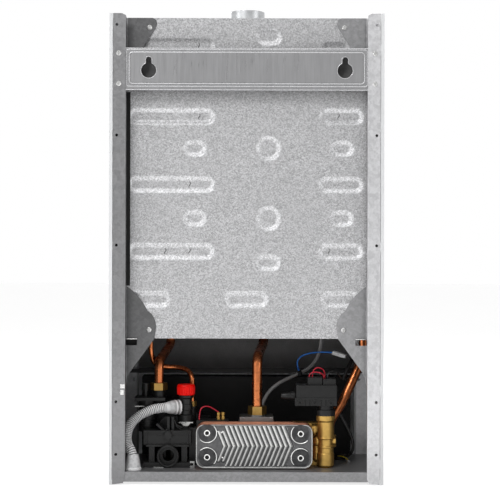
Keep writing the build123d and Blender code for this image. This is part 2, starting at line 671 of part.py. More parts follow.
for z in plate_port_z:
    hydraulic -= rod((60, arm_back + blank, z), (60, arm_back - 12, z), exchanger_port_r)
hydraulic -= rod((*flow_end, tray_top - blank), (*flow_end, 45), thread_large_r - thread_wall)
hydraulic -= rod((*hot_end, tray_top - blank), (*hot_end, 60), thread_small_r - thread_wall)
hydraulic -= rod((*valve_at, 80), (*valve_at, valve_seat_z + blank), 6)
hydraulic -= rod((*nut_at, 110), (*nut_at, nut_seat_z + blank), flow_pipe_r)
hydraulic -= rod((*relief_tap, 90), (*relief_tap, tap_top + blank), relief_pipe_r + fit_gap)
keep("hydraulic_block", hydraulic)

pump_front = (pump_at[0], pump_back, pump_at[1])
motor_case = turned_about([(0, 0), (36, 0), (36, 6), (motor_r, 8), (motor_r, motor_length - 8),
                           (40, motor_length), (0, motor_length)],
                          pump_front, (0, -1, 0))
groove_count = 16
groove_r = 3.0
for index in range(groove_count):
    angle = math.radians(360 / groove_count * index)
    x = pump_at[0] + (motor_r + 1) * math.cos(angle)
    z = pump_at[1] + (motor_r + 1) * math.sin(angle)
    motor_case -= rod((x, pump_back - 14, z), (x, pump_back - motor_length + 12, z), groove_r)
motor_case += block((pump_at[0] - 60, pump_at[0] - 30), (-160, -125), (pump_at[1] - 18, pump_at[1] + 18))
motor_case -= rod((pump_at[0], pump_back + 1, pump_at[1]),
                  (pump_at[0], pump_back - motor_length + 24, pump_at[1]), 16.6)
motor_case -= rod((pump_at[0], pump_back - motor_length + 30, pump_at[1]),
                  (pump_at[0], pump_back - motor_length + 10, pump_at[1]), shaft_small + fit_gap)
keep("pump_motor", motor_case)
rotor = rod((pump_at[0], -97, pump_at[1]), (pump_at[0], pump_back - motor_length + 12, pump_at[1]), shaft_small)
rotor += rod((pump_at[0], -118, pump_at[1]), (pump_at[0], pump_back - motor_length + 28, pump_at[1]), 16)
rotor += rod((pump_at[0], -99, pump_at[1]), (pump_at[0], -100.5, pump_at[1]), 18.5)
rotor += rod((pump_at[0], -108, pump_at[1]), (pump_at[0], -109.5, pump_at[1]), 18.5)
vane = block((6, 18), (-108.5, -100), (-0.7, 0.7))
for index in range(7):
    rotor += Pos(pump_at[0], 0, pump_at[1]) * Rot(0, 360 / 7 * index, 0) * Pos(6, 0, 0) * Rot(0, 30, 0) \
        * Pos(-6, 0, 0) * vane
rotor += rod((pump_at[0], -100, pump_at[1]), (pump_at[0], -109, pump_at[1]), 7)
keep("pump_rotor", rotor)

# Safety valve with its red knob and ribbed discharge hose

outlet_z = 109.0
valve_top = 127.5
outlet_turn = math.radians(25)
outlet_r = 5.6
knob_stem_r = 3.0
grip_count = 18
outlet_way = (math.cos(outlet_turn), math.sin(outlet_turn), 0)


def along_outlet(distance):
    return (valve_at[0] + distance * outlet_way[0], valve_at[1] + distance * outlet_way[1], outlet_z)


cuff_start = 11.0
cuff_end = 36.0
valve_body = turned([(0, 93), (13, 93), (13, 96), (9.5, 98), (9.5, 104), (10.5, 105), (10.5, 113), (9.5, 114),
                     (9.5, 122), (12, 124), (12, valve_top), (0, valve_top)], *valve_at)
valve_body += rod(along_outlet(0), along_outlet(cuff_end - 1), outlet_r)
valve_body -= rod(along_outlet(0), along_outlet(cuff_end), 4.2)
valve_body -= rod((*valve_at, 92), (*valve_at, outlet_z), 6)
valve_body -= rod((*valve_at, 114), (*valve_at, valve_top + 1), knob_stem_r + fit_gap)
keep("safety_valve", valve_body)
knob = turned([(0, valve_top + seat), (12.5, valve_top + seat), (14.3, valve_top + 2), (14.3, 142),
               (13, 144.5), (0, 144.5)], *valve_at)
for index in range(grip_count):
    angle = math.radians(360 / grip_count * index)
    spot = (valve_at[0] + 15 * math.cos(angle), valve_at[1] + 15 * math.sin(angle))
    knob -= rod((*spot, 128), (*spot, 141), 1.5)
knob += rod((*valve_at, 116), (*valve_at, valve_top + 1), knob_stem_r)
keep("safety_valve_knob", knob)

hose_outer = 7.5
hose_inner = 5.6
hose_root = 6.6
cuff_r = 11.5
hose_points = [along_outlet(cuff_end - 0.5), along_outlet(cuff_end + 15), (157.0, -58.0, 104.0),
               (170.0, -53.0, 97.0), (180.5, -46.0, 87.0), (185.5, -38.5, 73.0), (184.5, -30.5, 57.0),
               (174.5, -22.0, 45.0), (174.5, -22.0, 30.0)]


def arc_radii(points, share=0.45):
    radii = []
    for before, corner, after in zip(points, points[1:], points[2:]):
        first = Vector(*corner) - Vector(*before)
        second = Vector(*after) - Vector(*corner)
        turn = math.radians(first.get_angle(second))
        radii.append(round(share * min(first.length, second.length) / math.tan(turn / 2), 2))
    return radii


hose_radii = arc_radii(hose_points)
hose_path = FilletPolyline(*hose_points, radius=hose_radii)
rib_pitch = 2.1
rib_count = int((hose_path.length - 6) / rib_pitch)
rib_start = (hose_path.length - rib_count * rib_pitch) / 2


def ring_at(distance, radius):
    share = distance / hose_path.length
    along = hose_path % share
    steady = Vector(0, 1, 0.35)
    across = (steady - along * steady.dot(along)).normalized()
    return Plane(origin=hose_path @ share, x_dir=across, z_dir=along) * Circle(radius)


rings = [ring_at(0, hose_root)]
for index in range(rib_count):
    start = rib_start + index * rib_pitch
    for shift, radius in ((0.2, hose_root), (0.7, hose_outer), (1.4, hose_outer), (1.9, hose_root)):
        rings.append(ring_at(start + shift, radius))
rings.append(ring_at(hose_path.length, hose_root))
hose = loft(rings, ruled=True)
bore = sweep(Plane(origin=hose_path @ 0, z_dir=hose_path % 0) * Circle(hose_inner), hose_path)
hose -= bore
cuff = turned_about([(5.7, 0), (cuff_r, 0), (cuff_r, 3), (cuff_r - 0.8, 3.5), (cuff_r - 0.8, 5.5), (cuff_r, 6),
                     (cuff_r, 9), (cuff_r - 0.5, 13), (8.2, 22), (7.6, cuff_end - cuff_start - 0.5),
                     (5.7, cuff_end - cuff_start - 0.5)], along_outlet(cuff_start), outlet_way)
foot = turned([(hose_inner, tray_top), (13, tray_top), (13, 22.5), (11.5, 24), (11.5, 26), (8.2, 30),
               (hose_inner, 30)], *drain_at)
keep("discharge_hose", Compound(children=[hose, cuff, foot]))

# Brazed plate heat exchanger

plate_x = (-102.9, 77.5)
plate_z = (21.4, 88.8)
plate_back = -22.0
plate_front = -62.0
plate_corner = 13.0
plate_mid = ((plate_x[0] + plate_x[1]) / 2, (plate_z[0] + plate_z[1]) / 2)
plate_ports = ((60.2, 75.5), (60.2, 38.0), (-84.6, 74.5), (-84.6, 37.0))
layer_pitch = 4.0
layer = 2.2
layer_count = 9


def rounded_plate(back, thickness, less):
    plane = Plane(origin=(plate_mid[0], back, plate_mid[1]), x_dir=(1, 0, 0), z_dir=(0, -1, 0))
    outline = RectangleRounded(plate_x[1] - plate_x[0] - 2 * less, plate_z[1] - plate_z[0] - 2 * less,
                               plate_corner - less)
    return extrude(plane * outline, thickness)


plate_floor = plate_back - 3.0
plate_rim = 1.6
exchanger_plates = rounded_plate(plate_floor, plate_floor - plate_front, plate_rim)
exchanger_plates += rounded_plate(plate_back - 1.4, plate_rim, 0) - rounded_plate(plate_back, 4, plate_rim)
for index in range(layer_count):
    exchanger_plates += rounded_plate(plate_floor - layer_pitch * index, layer, 0)
ridge_pitch = 7.3
ridge_width = 4.4
ridge_count = 14
ridge_lean = 15.0
ridge_half = 30.0
first_ridge_x = 39.5
ridge_sunk = 0.1
for index in range(ridge_count):
    x = first_ridge_x - ridge_pitch * index
    far_x = x - ridge_width
    arrow = [(x, plate_mid[1] + ridge_half), (far_x, plate_mid[1] + ridge_half),
             (far_x - ridge_lean, plate_mid[1]), (far_x, plate_mid[1] - ridge_half),
             (x, plate_mid[1] - ridge_half), (x - ridge_lean, plate_mid[1])]
    exchanger_plates += wall_slab(arrow, plate_back - 1.0, plate_floor - ridge_sunk)
port_ring_r = 15.6
port_ring_bore = 14.0
rivet_r = 5.8
rivet_bore = 3.4
for x, z in plate_ports:
    land = (x, plate_floor - ridge_sunk, z)
    exchanger_plates += tube((x, plate_back - 0.6, z), land, port_ring_r, port_ring_bore)
    exchanger_plates += tube((x, plate_back - 0.4, z), land, rivet_r, rivet_bore)
    exchanger_plates += tube((x, plate_front, z), (x, arm_back, z), exchanger_port_r + 2, exchanger_port_r - 2)
exchanger_plates &= block(plate_x, (arm_back - 1, plate_back), plate_z)
keep("plate_exchanger", exchanger_plates)

# Brass diverter valve and its actuator

diverter_at = (-124.5, -50.0)
spindle_r = 3.0
pipe_wall = 1.0
collar_low = 100.2
return_nipple = (-132.0, -74.0)
nipple_r = 10.5
fill_stem_r = 3.0
brass = turned([(0, tray_top), (10, tray_top), (13.3, 23), (13.3, 40.5), (12.4, 42), (12.4, 50), (13, 50.6),
                (13, 53), (12, 54), (12, 63), (13.4, 64.5), (13.4, 66), (13, 67), (13, 90), (14.9, 93),
                (14.9, collar_low), (0, collar_low)], *diverter_at)
brass += rod((-124, -62, 77), (-88, -62.3, 77), 8.4) - block((plate_x[0], 0), (-62, -50), (60, 90))
brass -= block((plate_x[0] - 0.5, -80), (plate_front, -40), (60, 90))
brass += rod((-108.8, -56, 77), (-105.6, -56, 77), 9.5)
brass += Pos(-112.8, -56, 58.5) * Sphere(9.5)
brass += rod((-111, -56, 58), (-111, -57, 34), 6.6) + Pos(-111, -57, 33) * Sphere(7.2)
brass += rod((-111, -57, 33), (-114, -70, 33), 6.6)
brass += block((-118, -74), (arm_front, arm_back), (tray_top, 86))
brass += rod((-124.5, -50, 59.5), (-140, -50, 59.5), 5.5)
brass += rod((*return_nipple, 48), (*return_nipple, 66), nipple_r)
brass += rod((*return_nipple, 52), (*diverter_at, 52), 8)
brass -= rod((*return_nipple, 56), (*return_nipple, 67), flow_pipe_r + fit_gap)
for x, z in plate_ports[2:]:
    brass -= rod((x, arm_back + 1, z), (x, arm_back - 12, z), exchanger_port_r)
    brass -= rod((x, plate_front + 1, z), (x, arm_back, z), exchanger_port_r + 2 + seat)
brass -= rod((*diverter_at, 56), (*diverter_at, 101), spindle_r + fit_gap)
brass -= rod((*return_end, tray_top - 1), (*return_end, 44), 8)
brass -= rod((*cold_end, tray_top - 1), (*cold_end, 60), thread_small_r - thread_wall)
fill_at = (-97.0, 54.0)
brass -= rod((fill_at[0], arm_front - 1, fill_at[1]), (fill_at[0], arm_front + 12, fill_at[1]), fill_stem_r + fit_gap)
keep("diverter_body", brass)

fill_knob = rod((fill_at[0], arm_front + 10, fill_at[1]), (fill_at[0], arm_front - 8, fill_at[1]), fill_stem_r)
fill_knob += rod((fill_at[0], arm_front - 5, fill_at[1]), (fill_at[0], arm_front - 20, fill_at[1]), 8)
fill_knob += block((fill_at[0] - 14, fill_at[0] + 14), (arm_front - 19, arm_front - 9),
                   (fill_at[1] - 3, fill_at[1] + 3))
keep("filling_knob", fill_knob)

actuator_low = 116.7
actuator = turned([(0, collar_low + 0.1), (14.9, collar_low + 0.1), (14.9, 109.4), (11.7, 110),
                   (11.7, actuator_low + 1), (0, actuator_low + 1)], *diverter_at)
actuator += block((-141, -76), (-76, -34), (actuator_low, 128.8))
actuator += block((-141, -78), (-74, -36), (128.7, 148))
actuator += block((-118.7, -96.3), (-70, -44), (147.9, 159.4))
actuator += block((-139.7, -120), (-72, -42), (147.9, 157.4))
actuator += turned_about([(0, 0), (7, 0), (7, 7), (6, 8), (6, 14), (4.5, 22), (0, 22)], (-77, -55, 130),
                         (1, 0, 0))
screw_boss_z = 122.0
slot_half = 0.8
for x in (-83, -107, -132):
    actuator += rod((x, -36, screw_boss_z), (x, -32, screw_boss_z), 4)
    actuator -= rod((x, -34.5, screw_boss_z), (x, -30, screw_boss_z), 2)
for x in (-92, -99, -117, -124):
    actuator -= block((x - slot_half, x + slot_half), (-36, -32), (actuator_low - 1, 126))
actuator -= rod((*diverter_at, 99), (*diverter_at, 128), spindle_r + fit_gap)
keep("diverter_actuator", actuator)
keep("diverter_spindle", rod((*diverter_at, 64), (*diverter_at, 120), spindle_r))

# Gas valve, with its two coils on the room side

gas_at = (-17.4, -85.0)
gas_body_z = (30.0, 84.0)
gas_flange_z = (84.0, 95.0)
gas_seat_z = 97.0
gas_rear = -66.5
coil_z = 58.0
coil_r = 13.0
gas_valve = block((-45, 12), (-125, -67), gas_body_z)
gas_valve = fillet(gas_valve.edges().filter_by(Axis.Z), 5)
gas_valve += block((-42.7, 10.1), (-110, gas_rear), gas_flange_z)
gas_valve += rod((*gas_at, 90), (*gas_at, gas_seat_z), 12.7)
gas_valve += rod((*gas_end, tray_top), (*gas_end, 31), 12)
for x in (-39.3, 4.5):
    gas_valve += rod((x, gas_rear, 92.6), (x, gas_rear + 1.9, 92.6), 2.2)
for x in (-31, -4):
    gas_valve += rod((x, -125, coil_z), (x, control_back + 23, coil_z), coil_r)
    gas_valve += block((x - 9, x + 9), (control_back + 28, -130), (66, 78))
gas_valve -= rod((*gas_at, 60), (*gas_at, gas_seat_z + 1), gas_pipe_r - pipe_wall)
gas_valve -= rod((*gas_end, tray_top - 1), (*gas_end, 60), thread_large_r - thread_wall)
keep("gas_valve", gas_valve)

# Copper pipes and their union nuts

run_height = 203.0
header_back = (86.0, -112.0)
gas_start = (*gas_at, gas_seat_z + 0.2)
gas_route = [gas_start, (*gas_at, 188), (gas_up[0], gas_up[1], run_height), (*gas_up, manifold_z - manifold_side / 2)]
keep("gas_pipe", bent(gas_route, [17, 14], gas_pipe_r, gas_pipe_r - pipe_wall))
flow_start = (*nut_at, 112)
header_x = unit_x[1] + 12
flow_route = [flow_start, (*nut_at, 180), (flow_up[0], flow_up[1], run_height), (*flow_up, 247),
              (*header_back, 262), (*header_back, tube_z), (header_x, header_back[1], tube_z)]
keep("flow_pipe", bent(flow_route, [16, 14, 18, 18, 11], flow_pipe_r - fit_gap, flow_pipe_r - pipe_wall))
return_route = [(*return_nipple, 57), (*return_nipple, 86), (-152.5, -84, 116), (return_up[0], return_up[1], 188),
                (*return_up, tube_z), (unit_x[0] - 12, return_up[1], tube_z)]
keep("return_pipe", bent(return_route, [26, 60, 40, 16], flow_pipe_r, flow_pipe_r - pipe_wall))
relief_low = (*relief_tap, 92.0)
relief_route = [relief_low, (86.9, -103, 155), (94, -113, 165), (112, -122, 169), (132, -124, 168.5),
                (149, -118, 174), (relief_up[0], relief_up[1], 194), (*relief_up, vessel_z[0])]
keep("relief_pipe", bent(relief_route, arc_radii(relief_route), relief_pipe_r, relief_pipe_r - 0.8))

nut_gap = 0.1
nuts = []
for (x, y), (low, high), across, pipe_r in ((gas_at, (97.2, 110.4), 25.5, gas_pipe_r),
                                            (nut_at, (134.2, 145.6), 24.0, flow_pipe_r),
                                            (relief_tap, (108.1, 116.0), 13.0, relief_pipe_r)):
    nuts.append(hexagon((x, y, low), (x, y, high), across) - rod((x, y, low - 1), (x, y, high + 1), pipe_r + nut_gap))
keep("union_nuts", Compound(children=nuts))

# Leads held inside the casing, their connectors and the pipe sensor

cable_route = [(*cable_up, chamber_low + 30), (*cable_up, 214), (-121, -149, 195), (-114, -147, 178),
               (-104, -144, 166.5), (-90, -139, 159), (-72, -132, 152), (-53, -125, 143.5),
               (-37, -118, 131), (-28, -115, 116), (-25, -114, 103), (-25, -114, 95)]
keep("grey_cable", bent(cable_route, arc_radii(cable_route), cable_r))
cable_path = FilletPolyline(*cable_route, radius=arc_radii(cable_route))
tie_x = -86.0
tie_share = min((step / 400 for step in range(401)), key=lambda share: abs((cable_path @ share).X - tie_x))
tie_plane = Plane(origin=cable_path @ tie_share, z_dir=cable_path % tie_share)
tie_r = 4.4
cable_tie = extrude(tie_plane * (Circle(tie_r) - Circle(cable_r + 0.1)), 3.5, both=True)
tie_top = (cable_path @ tie_share) + Vector(0, 0, tie_r - 0.2)

wire_r = 1.1
lead_r = 1.5
plug_low = (-141.5, -130.0, 192.0)
plug_high = (-161.0, -121.0, 186.5)
blue_route = [tuple(tie_top), (-81.5, -138, 173), (-87, -140, 185), (-105, -138.5, 191), (-124, -134, 193),
              plug_low]
blue_wire = bent(blue_route, arc_radii(blue_route), wire_r)
grey_route = [plug_high, (-168, -117, 183.5), (-174, -112, 178), (-173.5, -108, 171)]
grey_lead = bent(grey_route, arc_radii(grey_route), lead_r)
first_red = [(-104, -60, 159.4), (-104, -60, 168), (-111, -62, 174.5), (-120, -63, 172), (-124, -64, 166),
             (-124, -64, 157.4)]
second_red = [(-99, -57, 159.4), (-99, -57, 163.5), (-105, -57.5, 167.5), (-115, -57, 166.5), (-122, -56, 162.5),
              (-122, -56, 157.4)]
sensor_route = [(-128, -66, 157.4), (-128, -66, 165), (-138, -72, 168), (-147, -80, 161), (-152, -90, 153)]
cable_two = [(-137, -76, 121), (-137, -90, 121), (-143, -104, 109), (-152, -110, 93), (-163, -111, 73),
             (-171, -111, 55), (-173, -112, 39), (-168, -116, 27.5), (gland_at[0] - 8, -123, 23.5)]
meter_route = [(74, -70, 90), (74, -70, 99), (71, -72, 110), (60, -75, 111.5), (51, -77.5, 106), (44, -78, 101.5)]
meter_r = 0.9
leads = [blue_wire + cable_tie, grey_lead]
for route, radius in ((first_red, wire_r), (second_red, wire_r), (sensor_route, 1.3), (cable_two, 2.4),
                      (meter_route, meter_r)):
    leads.append(bent(route, arc_radii(route), radius))

# Connectors on the leads

socket_across = (8.0, 6.4)
sensor_r = 3.0
terminal_r = 2.9
tag_r = 3.5
socket_line = (Vector(*plug_high) - Vector(*plug_low)).normalized()
socket_plane = Plane(origin=plug_low, z_dir=socket_line)
socket_length = (Vector(*plug_high) - Vector(*plug_low)).length
leads.append(extrude(socket_plane * Rectangle(*socket_across), socket_length))
sensor_start = (-153.3, -90.5, 150.5)
sensor_end = (-169.3, -99.5, 184.0)
leads.append(rod(sensor_start, sensor_end, sensor_r))
leads.append(block((-33, -17), (-122, -110 - seat), (84, 95)))
for x in (36.7, 43.9):
    leads.append(rod((x, -78, 90), (x, -78, 101.2), terminal_r))
gland = turned([(0, tray_top), (11, tray_top), (11, tray_top + 3), (7, tray_top + 8), (0, tray_top + 8)], *gland_at)
leads.append(gland + rod((*gland_at, tray_top - 8), (*gland_at, tray_top + 1), 7.9))
tag = (-163.0, -100.0, tray_top)
leads.append(rod(tag, (tag[0], tag[1], tray_top + 3), tag_r))
earth_route = [(tag[0], tag[1], tray_top + 3), (-162, -101, 25), (-152, -104, 28), (-146, -112, 27),
               (gland_at[0], gland_at[1] + 7.2, tray_top + 5)]
leads.append(bent(earth_route, arc_radii(earth_route), wire_r))
tube_route = [(switch_at[0] - 12, rear_y - panel_sheet - 13, switch_at[2] + 16),
              (switch_at[0] - 12, -84, switch_at[2] + 16),
              (fan_x + hood_mouth + seat, -84, switch_at[2] + 16)]
leads.append(bent(tube_route, arc_radii(tube_route), 3.0, 1.8))
keep("sensor_leads", Compound(children=leads))

# Steel retaining clips

clip_ring = block((148, 177), (-79, -76.4), (109.4, 111.2)) - rod((*column_at, 100), (*column_at, 120), 14)
valve_clip = block((84, 107), (-73.8, -71.2), (84.5, 86.5)) - rod((*valve_at, 80), (*valve_at, 92), 13)
valve_clip += wall_slab([(86, 86.5), (105, 86.5), (99, 80), (92, 80)], -71.2, -72.2) \
    - rod((*valve_at, 70), (*valve_at, 95), 13)
floor_clip = block((128, 144), (-38, -34), (tray_top, tray_top + 2))
exchanger_clip = block((80, 87), (-40, -36), (tray_top, tray_top + 2)) \
    + block((80, 87), (-37.5, -36), (tray_top, 30)) - block((82, 88), (-38, -35), (23, 27))
keep("retaining_clips", Compound(children=[clip_ring, valve_clip, floor_clip, exchanger_clip]))

# Front cover

cover_gap = 1.3
cover_rear = frame_front - cover_gap
cover_top = height
cover = block((-half, half), (-depth, cover_rear), (cover_low, cover_top))
cover -= block((-half + cover_sheet, half - cover_sheet), (-depth + cover_sheet, cover_rear + 1),
               (cover_low + cover_sheet, cover_top - cover_sheet))
rim = block((-half, half), (cover_rear - cover_sheet, cover_rear), (cover_low, cover_top))
rim -= block((-half + 8, half - 8), (cover_rear - 5, cover_rear + 5), (cover_low + 8, cover_top - 8))
cover += rim
cover = fillet(cover.edges().filter_by(Axis.Z).group_by(Axis.Y)[0], 0.9)
keep("front_cover", cover)

# Control box on its two bottom pins

housing_half = half - 36.0
housing_front = -(depth - 6.0)
housing_wall = 2.0
housing_top = 147.0
fascia_back = -(depth - 3.0)
fascia_top = 150.0
button_xs = (housing_half - 62.0, housing_half - 34.0)
gauge_at = (-(housing_half - 42.0), knob_z)
gauge_r = 21.0
window_half = 30.0
window_z = (62.0, 94.0)
button_r = 6.0
button_gap = 0.4
stem_r = 3.0

housing = block((-housing_half, housing_half), (housing_front, control_back), (control_low, housing_top))
housing -= block((-housing_half + housing_wall, housing_half - housing_wall),
                 (housing_front - 1, control_back - housing_wall),
                 (control_low + housing_wall, housing_top - housing_wall))
hinge_line = (hinge_y, hinge_z)
for side in (-1, 1):
    wall = side * (housing_half - housing_wall)
    housing += rod((wall - side * 8, *hinge_line), (wall, *hinge_line), 5)
    housing -= rod((wall - side * 9, *hinge_line), (side * (housing_half + 1), *hinge_line), hinge_r + fit_gap)
board_half = housing_half - 26.0
board_back = housing_front + 26.0
posts = [(x, z) for x in (8 - board_half, board_half - 8) for z in (20, 128)]
for x, z in posts:
    housing += rod((x, control_back - 1, z), (x, board_back, z), 4)
keep("control_housing", housing)

board_plate = block((-board_half, board_half), (board_back - 1.6, board_back), (14, 134))
for x, y, z, w, d, h in ((-110, 0, 100, 30, 22, 26), (-60, 0, 112, 24, 16, 20), (10, 0, 112, 46, 10, 18),
                         (100, 0, 108, 34, 20, 28), (70, 0, 36, 60, 12, 14), (-60, 0, 34, 70, 10, 12)):
    board_plate += block((x - w / 2, x + w / 2), (board_back - 1.6 - d, board_back - 1.6), (z - h / 2, z + h / 2))
for x in (-knob_x, knob_x):
    board_plate += block((x - 8, x + 8), (board_back - 12, board_back - 1.6), (knob_z - 8, knob_z + 8))
    board_plate -= rod((x, board_back - 13, knob_z), (x, board_back - 2, knob_z), stem_r + fit_gap)
for x in button_xs:
    board_plate += block((x - 4, x + 4), (board_back - 14.5, board_back - 1.6), (knob_z - 4, knob_z + 4))
board_plate += block((-window_half - 3, window_half + 3), (housing_front + 1, board_back - 1.6),
                     (window_z[0] - 3, window_z[1] + 3))
keep("circuit_board", board_plate)

fascia = block((-half, half), (-depth, fascia_back), (control_low, fascia_top))
fascia = fillet(fascia.edges().filter_by(Axis.Z).group_by(Axis.Y)[0], 2)
for side in (-1, 1):
    fascia += block((side * half, side * (half - 2.5)), (fascia_back - 1, hinge_y + 2), (control_low, fascia_top))
fascia += block((-half, half), (fascia_back - 1, hinge_y - 2), (fascia_top - 2, fascia_top))
fascia += block((-housing_half, housing_half), (fascia_back, housing_front), (control_low, control_low + 4))
fascia += block((-housing_half, housing_half), (fascia_back, housing_front), (housing_top - 4, housing_top))
for x in (-knob_x, knob_x):
    fascia -= rod((x, -depth - 1, knob_z), (x, fascia_back + 1, knob_z), stem_r + 1)
    fascia -= rod((x, -depth - 1, knob_z), (x, -depth + 1, knob_z), 22)
for x in button_xs:
    fascia -= rod((x, -depth - 1, knob_z), (x, fascia_back + 1, knob_z), button_r + button_gap)
fascia -= block((-window_half, window_half), (-depth - 1, fascia_back + 1), window_z)
fascia -= rod((gauge_at[0], -depth - 1, gauge_at[1]), (gauge_at[0], fascia_back + 1, gauge_at[1]), gauge_r + 0.2)
keep("control_fascia", fascia)
keep("display_window", block((-window_half + 0.1, window_half - 0.1), (-depth + 0.4, fascia_back + 0.5),
                             (window_z[0] + 0.1, window_z[1] - 0.1))
     + block((-window_half - 2.5, window_half + 2.5), (fascia_back, fascia_back + 1.5),
             (window_z[0] - 2.5, window_z[1] + 2.5)))

gauge = turned_about([(1.05, 0), (gauge_r - 2, 0), (gauge_r - 2, 5), (gauge_r, 5), (gauge_r, -0.9),
                      (gauge_r + 2, -0.9), (gauge_r + 2, -3), (8, -3), (8, -20), (0, -20), (0, -6), (1.05, -6)],
                     (gauge_at[0], fascia_back + 0.1, gauge_at[1]), (0, -1, 0))
keep("pressure_gauge", gauge)
needle_y = fascia_back - 0.4
needle = rod((gauge_at[0], fascia_back + 4, gauge_at[1]), (gauge_at[0], needle_y - 1.6, gauge_at[1]), 1.0)
needle += rod((gauge_at[0], needle_y, gauge_at[1]), (gauge_at[0], needle_y - 1.6, gauge_at[1]), 2.6)
pointer = wall_slab([(-11.5, -11), (-1.6, 1.6), (1.6, -1.6)], needle_y - 0.3, needle_y - 1.1)
needle += Pos(gauge_at[0], 0, gauge_at[1]) * pointer
keep("gauge_needle", needle)


grip_grooves = 24
grip_ring_r = 20.8


def control_knob(x):
    face = -depth
    body = turned_about([(0, 0.3), (19.5, 0.3), (20, 2), (18.5, 11.5), (17, 13), (0, 13)], (x, face + 1, knob_z),
                        (0, -1, 0))
    for index in range(grip_grooves):
        angle = math.radians(360 / grip_grooves * index)
        spot = (x + grip_ring_r * math.cos(angle), knob_z + grip_ring_r * math.sin(angle))
        body -= rod((spot[0], face + 1, spot[1]), (spot[0], face - 13, spot[1]), 1.6)
    body += block((x - 2.2, x + 2.2), (face - 15, face - 11), (knob_z - 17, knob_z + 17))
    body += rod((x, board_back - 6, knob_z), (x, face, knob_z), stem_r)
    return body


keep("heating_knob", control_knob(-knob_x))
keep("water_knob", control_knob(knob_x))


def push_button(x):
    return turned_about([(0, -12), (3, -12), (3, -3.2), (8.5, -3.2), (8.5, -0.4), (button_r, -0.4), (button_r, 5),
                         (button_r - 1, 6), (0, 6)], (x, fascia_back, knob_z), (0, -1, 0))


keep("mode_button", push_button(button_xs[0]))
keep("reset_button", push_button(button_xs[1]))
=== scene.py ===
"""Looks of a wall-hung gas boiler, seen from its back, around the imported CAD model."""
import json
import math

import bmesh
import bpy
import numpy as np
from mathutils import Matrix, Vector

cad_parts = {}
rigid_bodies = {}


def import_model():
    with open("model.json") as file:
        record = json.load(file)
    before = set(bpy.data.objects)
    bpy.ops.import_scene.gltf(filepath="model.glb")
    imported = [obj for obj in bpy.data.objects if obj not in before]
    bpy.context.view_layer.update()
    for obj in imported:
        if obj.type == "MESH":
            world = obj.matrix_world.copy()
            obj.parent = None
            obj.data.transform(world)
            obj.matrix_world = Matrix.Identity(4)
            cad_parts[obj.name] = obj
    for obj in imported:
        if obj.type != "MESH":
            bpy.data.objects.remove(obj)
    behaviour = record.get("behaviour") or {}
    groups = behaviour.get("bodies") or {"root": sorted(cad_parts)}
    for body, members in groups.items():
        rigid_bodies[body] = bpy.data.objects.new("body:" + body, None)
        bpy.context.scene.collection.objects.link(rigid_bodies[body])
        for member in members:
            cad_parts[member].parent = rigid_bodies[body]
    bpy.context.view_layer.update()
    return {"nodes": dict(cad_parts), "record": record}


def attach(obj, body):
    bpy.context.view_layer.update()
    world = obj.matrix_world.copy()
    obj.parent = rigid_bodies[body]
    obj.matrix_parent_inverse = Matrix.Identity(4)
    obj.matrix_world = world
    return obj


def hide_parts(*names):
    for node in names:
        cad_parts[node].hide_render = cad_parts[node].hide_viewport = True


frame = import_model()

# Sizes below are in millimetres in the casing's own axes: x from its middle, y from the wall, z from its bottom edge.
MM = 0.001
ORIGIN_HEIGHT = 632.7
PLATE_PITCH = 4.0
KNOB_OFFSET, KNOB_HEIGHT = 64.0, 78.0


def at(x, y, z):
    """A point of the casing, in metres in the row frame."""
    return Vector((x * MM, y * MM, (z - ORIGIN_HEIGHT) * MM))


# Camera, at the photograph's place
camera_data = bpy.data.cameras.new("camera")
camera_data.sensor_width = 36.0
camera_data.lens = 94.3
camera_data.clip_start = 0.05
camera_data.clip_end = 60.0
camera = bpy.data.objects.new("camera", camera_data)
camera.location = at(-5.4, 2000.0, 358.6)
camera.rotation_euler = (Matrix.Rotation(math.pi, 3, "Z") @ Matrix.Rotation(math.pi / 2, 3, "X")
                         @ Matrix.Rotation(math.radians(0.15), 3, "Z")).to_euler()
bpy.context.scene.collection.objects.link(camera)
bpy.context.scene.camera = camera
bpy.context.scene.view_settings.view_transform = "Standard"


# Node trees
EVEN = (1.0, 1.0, 1.0)


def full(colour):
    """A colour for a colour socket: a link as it is, three numbers with an alpha of one."""
    return colour if isinstance(colour, bpy.types.NodeSocket) else (*colour, 1.0)


def shade(colour, factor):
    return tuple(min(1.0, part * factor) for part in colour)


def grey(level):
    return (level, level, level)


